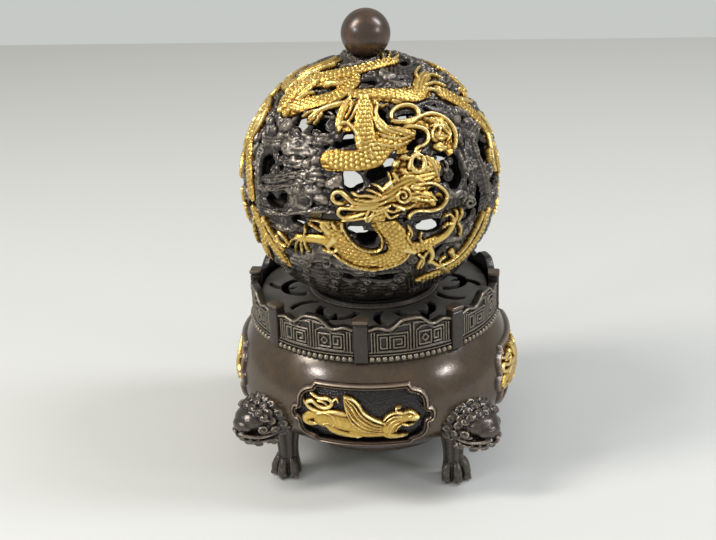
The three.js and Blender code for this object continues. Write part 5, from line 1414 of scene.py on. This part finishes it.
def roll(route, start, end, sides=10):
    """Tapered tube along a smooth route, round in section, with a blunt end."""
    path = smooth_route(route, 0.7)
    t = np.linspace(0, 1, len(path))[:, None]
    along = np.gradient(path, axis=0)
    along = along / np.linalg.norm(along, axis=1)[:, None]
    helper = np.array([0.31, 0.95, 0.05])
    side = np.cross(along, helper)
    side = side / np.linalg.norm(side, axis=1)[:, None]
    up = np.cross(side, along)
    half = (start + (end - start) * t) * np.clip(np.minimum(t, 1 - t) * len(path), 0.25, 1) ** 0.5
    a = np.arange(sides) * 2 * np.pi / sides
    ring = (np.cos(a)[None, :, None] * side[:, None] + np.sin(a)[None, :, None] * up[:, None])
    return skin(path[:, None] + ring * half[:, None])


def curl(centre, out, first, size, thick, turns=1.35, lift=1.2):
    """Hooked curl: a spiral that winds in round its centre and rises at the eye.
    out is the way it faces, and first the way in which its tail points."""
    out = np.array(out, float) / np.linalg.norm(out)
    first = np.array(first, float)
    first = first - out * (first @ out)
    first = first / np.linalg.norm(first)
    second = np.cross(out, first)
    t = np.linspace(0, 1, 11)[:, None]
    a = t * turns * 2 * np.pi
    r = size * (1 - 0.8 * t)
    route = np.array(centre) + (np.cos(a) * first + np.sin(a) * second) * r + out * (lift * t)
    tail = np.array(centre) + first * size + second * -size * 1.3 - out * 0.8
    return roll(np.concatenate([[tail], route]), thick, thick * 0.62)


print("an egg has", len(egg((0, 0, 0), (1, 1, 1))[1]), "triangles")

# %% Shapes of the mask
def mask_shapes():
    """All lumps and curls of a leg, as closed meshes that overlap."""
    o, z = MASK_OUT, MASK_Z
    shapes = [
        egg((0, o - 2, z), (11.5, 10.5, 12.0)),
        egg((0, o + 6.0, z + 3.6), (8.8, 7.6, 6.6), -14),
        egg((0, o + 10.8, z + 1.0), (6.0, 4.2, 4.4)),
        egg((0, o + 1, z - 8.5), (8.6, 8.6, 4.2)),
        egg((0, o + 8.5, z - 6.6), (5.6, 5.4, 2.0), -4),
        egg((0, o - 5, z + 8), (10, 8, 6)),
    ]
    for s in (-1, 1):
        shapes += [
            roll([(s * 1.2, o + 14.6, z - 2.6), (s * 5.4, o + 12.4, z - 3.8), (s * 8.8, o + 7.0, z - 5.0),
                  (s * 11.4, o + 0.5, z - 3.4), (s * 12.6, o - 4, z - 1.0)], 1.05, 0.9),
            roll([(s * 1.0, o + 13.0, z - 7.0), (s * 4.8, o + 11.4, z - 7.8), (s * 8.2, o + 6.5, z - 8.4),
                  (s * 10.6, o, z - 7.4)], 1.05, 0.9),
            curl((s * 9.6, o + 6.4, z + 0.4), (s * 0.86, 0.5, 0.1), (0.2, 0, -1), 2.2, 1.0),
            curl((s * 11.4, o + 1.2, z - 0.6), (s * 0.97, 0.2, -0.1), (0, 0, -1), 2.2, 1.0),
            curl((s * 11.6, o - 3.4, z - 4.4), (s * 0.95, 0.2, -0.2), (0, 0, -1), 2.2, 1.0),
            curl((s * 10.0, o + 1.6, z - 9.6), (s * 0.9, 0.3, -0.3), (0, 1, 0.3), 2.0, 0.95),
            curl((s * 6.4, o + 7.4, z - 10.6), (s * 0.6, 0.5, -0.6), (0, 1, 0), 1.9, 0.9),
            curl((s * 2.4, o + 10.4, z - 10.0), (s * 0.3, 0.7, -0.6), (0, 1, 0), 1.7, 0.85),
            egg((s * 3.0, o + 13.2, z - 4.9), (0.8, 0.8, 1.7)),
            egg((s * 5.6, o + 11.2, z - 5.8), (0.75, 0.75, 1.5)),
            egg((s * 7.6, o + 8.2, z - 6.4), (0.7, 0.7, 1.4)),
        ]
    for i in range(7):
        lean = math.radians(-87 + 29 * i)
        out = np.array([0.75 * math.sin(lean), 0.72, 0.5 * math.cos(lean)])
        centre = (12.6 * math.sin(lean), o - 2.5 + 1.5 * math.cos(lean), z + 1.5 + 11.6 * math.cos(lean))
        shapes.append(curl(centre, out, (math.cos(lean), 0.1, -math.sin(lean)), 2.5, 1.25))
    for i in range(7):
        lean = math.radians(-81 + 27 * i)
        out = np.array([0.6 * math.sin(lean), 0.85, 0.55 * math.cos(lean)])
        centre = (10.2 * math.sin(lean), o + 2.6, z + 3.4 + 8.4 * math.cos(lean))
        shapes.append(curl(centre, out, (-math.cos(lean), 0.1, math.sin(lean)), 2.1, 1.05))
    for i in range(6):
        lean = math.radians(-70 + 28 * i)
        out = np.array([0.6 * math.sin(lean), 0.5, 0.7])
        centre = (9.6 * math.sin(lean), o + 4.6 + 1.8 * math.cos(lean), z + 6.2 + 4.8 * math.cos(lean))
        shapes.append(curl(centre, out, (math.cos(lean), 0.3, -math.sin(lean)), 1.9, 1.0))
    return shapes


print("mask:", len(mask_shapes()), "shapes")

# %% Shapes of the shaft and the paw
def shaft_shapes():
    """Fluted shaft that flares into the mask, and a paw with four toes."""
    z = np.array([0.2, 0.9, 2.5, 5, 8, 11, 14, 17, 20, 23, 26, 29])
    r = np.array([5.0, 5.7, 5.8, 5.5, 5.0, 4.8, 4.9, 5.2, 5.7, 6.4, 7.2, 7.8])
    a = np.arange(72) * 2 * np.pi / 72
    depth = np.interp(z, [4, 9, 26], [0.02, 0.13, 0.16])
    wave = 1 - depth[:, None] * (0.5 + 0.5 * np.cos(8 * a)) ** 2.5
    rings = np.stack([np.cos(a) * r[:, None] * wave, FOOT_OUT + np.sin(a) * r[:, None] * wave,
                      np.broadcast_to(z[:, None], wave.shape)], -1)
    shapes = [skin(rings)]
    for turn in (-75, -25, 25, 75):
        c, s = math.cos(math.radians(turn)), math.sin(math.radians(turn))
        at = lambda far, high: (s * far, FOOT_OUT + c * far, high)
        shapes.append(roll([at(3.4, 9.6), at(5.0, 7.8), at(6.0, 5.4), at(6.2, 2.8)], 1.7, 2.4))
        shapes.append(egg(at(6.2, 2.4), (2.4, 2.4, 2.4)))
        shapes.append(egg(at(8.2, 1.2), (0.9, 0.9, 0.9)))
    return shapes


print("shaft and paw:", len(shaft_shapes()), "shapes")

# %% Press the shapes together
def make_leg():
    """Presses all shapes together, smooths them a little and marks the hollows."""
    low_z = MASK_Z - 2.0
    mask = [(p * [1, 1, MASK_SQUASH] + [0, 0, low_z - MASK_Z * MASK_SQUASH], f) for p, f in mask_shapes()]
    shapes = mask + shaft_shapes()
    counts = np.cumsum([0] + [len(p) for p, _ in shapes])
    points = np.concatenate([p for p, _ in shapes]) * [1, -1, 1]
    faces = np.concatenate([f[:, ::-1] + n for (_, f), n in zip(shapes, counts)])
    piece = new_mesh("beast_mask_leg_front_right", points, [faces])
    remesh = piece.modifiers.new("press", "REMESH")
    remesh.mode, remesh.voxel_size = "VOXEL", 0.42 * MM
    soft = piece.modifiers.new("soften", "SMOOTH")
    soft.factor, soft.iterations = 0.5, 2
    whole = piece.evaluated_get(bpy.context.evaluated_depsgraph_get())
    mesh = bpy.data.meshes.new_from_object(whole)
    piece.modifiers.clear()
    old, piece.data = piece.data, mesh
    bpy.data.meshes.remove(old)
    co = np.empty(len(mesh.vertices) * 3, np.float32)
    mesh.vertices.foreach_get("co", co)
    co = co.reshape(-1, 3).astype(float)
    co[:, 2] = np.maximum(co[:, 2], 0)
    # what would stick into the bowl ends in the middle of the bowl's wall
    reach = np.hypot(co[:, 0], co[:, 1])
    wall = np.where(co[:, 2] > BASE_Z * MM, belly(co[:, 2] / MM, -BOWL_WALL / 2) * MM, 0)
    co[:, :2] *= (np.maximum(reach, wall) / reach)[:, None]
    mesh.vertices.foreach_set("co", co.astype(np.float32).ravel())
    mesh.shade_smooth()
    # the relief mark stands in for ambient occlusion: painted shade in the hollows and painted highlight
    # on the curls, together with the wear on them
    mark_hollows(mesh, co / MM)
    mesh.transform(Matrix.Rotation(math.radians(45), 4, "Z"))
    return piece


def mark_hollows(mesh, co, rounds=8, scale=0.28):
    """Relief mark of a sculpted mesh: how far a point stands out from the mean of
    its neighbourhood, along the normal."""
    ends = np.empty(len(mesh.edges) * 2, np.int32)
    mesh.edges.foreach_get("vertices", ends)
    a, b = ends.reshape(-1, 2).T
    degree = np.bincount(a, minlength=len(co)) + np.bincount(b, minlength=len(co))
    mean = co.copy()
    for _ in range(rounds):
        total = np.stack([np.bincount(a, mean[b, k], len(co)) + np.bincount(b, mean[a, k], len(co))
                          for k in range(3)], 1)
        mean = total / degree[:, None]
    normal = np.empty(len(co) * 3, np.float32)
    mesh.vertex_normals.foreach_get("vector", normal)
    proud = ((co - mean) * normal.reshape(-1, 3)).sum(1)
    layer = mesh.attributes.new("relief", "FLOAT", "POINT")
    layer.data.foreach_set("value", np.clip(0.42 + proud / scale * 0.5, 0, 1).astype(np.float32))


leg = make_leg()
CORNERS = ["front_right", "back_right", "back_left", "front_left"]
dress_round(leg, 90, [f"beast_mask_leg_{corner}" for corner in CORNERS],
            [f"leg_{corner}" for corner in CORNERS], "base", "dark_bronze", leg_bronze)
print("leg", len(leg.data.polygons), "faces")

# %% Finish the nodes that stay as they are
KEPT = {"ball_seam_lip": cloud_bronze, "knob_nut": knob_bronze}
for name, material in KEPT.items():
    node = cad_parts[name]
    node.data.materials.clear()
    node.data.materials.append(material)
    print(name, "keeps its own mesh,", len(node.data.polygons), "faces")

# %% [markdown]
# ## Light and camera
# The camera repeats the photograph's view: a long lens from a little above. Two
# upright strip lights leave the pair of highlights on the small ball, two small
# lamps the pair on the bowl's shoulder, and the pale surroundings give the metal
# something to mirror.

# %% Floor
def plain(name, hex_colour, roughness=0.9):
    """A plain backdrop finish."""
    material = bpy.data.materials.new(name)
    material.use_nodes = True
    shader = material.node_tree.nodes["Principled BSDF"]
    shader.inputs["Base Color"].default_value = linear(hex_colour)
    shader.inputs["Roughness"].default_value = roughness
    return material


floor = new_mesh("floor", np.array([[-900, -900, -0.3], [900, -900, -0.3], [900, 900, -0.3],
                                    [-900, 900, -0.3]]), [np.array([[0, 1, 2, 3]])])
floor.data.materials.append(plain("pale_floor", "c9cbc8"))
print("floor laid,", len(floor.data.vertices), "corners")

# %% Surroundings
world = bpy.data.worlds.new("studio")
bpy.context.scene.world = world
world.use_nodes = True
world.node_tree.nodes.clear()
path = add_node(world.node_tree, "ShaderNodeLightPath")
seen = add_node(world.node_tree, "ShaderNodeBackground",
                {"Color": linear("c6c9c6"), "Strength": 1.0})
lit = add_node(world.node_tree, "ShaderNodeBackground",
               {"Color": linear("e6e5e0"), "Strength": 0.6})
either = add_node(world.node_tree, "ShaderNodeMixShader",
                  {0: path.outputs["Is Camera Ray"], 1: lit.outputs[0], 2: seen.outputs[0]})
add_node(world.node_tree, "ShaderNodeOutputWorld", {"Surface": either.outputs[0]})
print("surroundings:", len(world.node_tree.nodes), "nodes")

# %% Camera
ELEVATION, ROLL, YAW = math.radians(22.33), math.radians(-2.24), math.radians(7.37)
back = np.array([0, -math.cos(ELEVATION), math.sin(ELEVATION)])
right = np.array([1.0, 0, 0])
up = np.array([0, math.sin(ELEVATION), math.cos(ELEVATION)])
leaned_right = math.cos(ROLL) * right + math.sin(ROLL) * up
leaned_up = -math.sin(ROLL) * right + math.cos(ROLL) * up
spin = np.array([[math.cos(YAW), -math.sin(YAW), 0], [math.sin(YAW), math.cos(YAW), 0], [0, 0, 1]])
camera_data = bpy.data.cameras.new("camera")
camera_data.sensor_width = 36
camera_data.lens = 64.26
camera_data.clip_start, camera_data.clip_end = 0.01, 10
camera = bpy.data.objects.new("camera", camera_data)
bpy.context.scene.collection.objects.link(camera)
AIM_Z, FAR_OFF, ASIDE = 87.25, 600, -7.32  # mm: height aimed at, distance, shift of the camera
place = spin @ (np.array([0, 0, AIM_Z]) + back * FAR_OFF + leaned_right * ASIDE) * MM
turn = np.stack([spin @ leaned_right, spin @ leaned_up, spin @ back], 1)
camera.matrix_world = Matrix.Translation(Vector(place)) @ Matrix(turn.tolist()).to_4x4()
bpy.context.scene.camera = camera
print("camera at", np.round(place, 3))


# %% Lamps
def strip_light(name, across, above, towards, distance, wide, tall, power, hex_colour):
    """Soft box placed by its direction as the camera sees the object: sideways, up
    and towards the camera. Distance and size are in metres, power in watts."""
    middle = np.array([0, 0, 0.13])
    way = turn @ np.array([across, above, towards])
    way = way / np.linalg.norm(way)
    data = bpy.data.lights.new(name, "AREA")
    data.shape = "RECTANGLE"
    data.size, data.size_y, data.energy = wide, tall, power
    data.color = linear(hex_colour)[:3]
    lamp = bpy.data.objects.new(name, data)
    bpy.context.scene.collection.objects.link(lamp)
    lamp.location = Vector(middle + way * distance)
    lamp.rotation_mode = "QUATERNION"
    lamp.rotation_quaternion = Vector(way).to_track_quat("Z", "Y")
    return lamp


strip_light("left_strip", -0.68, 0.578, 0.445, 1.1, 0.22, 0.55, 8.5, "fff8f0")
strip_light("right_strip", 0.65, 0.68, 0.31, 1.2, 0.2, 0.55, 7.5, "f4f6ff")
strip_light("bowl_left", -0.743, 0.211, 0.635, 1.01, 0.16, 0.09, 1.8, "f6f8ff")
strip_light("bowl_right", 0.802, 0.189, 0.566, 1.02, 0.18, 0.07, 1.5, "f6f8ff")
fill = strip_light("front_fill", -0.15, 0.35, 1.0, 1.6, 1.0, 0.8, 4, "ffffff")
fill.visible_glossy = False
bpy.context.scene.view_settings.view_transform = "Standard"
print("lamps:", len(bpy.data.lights))
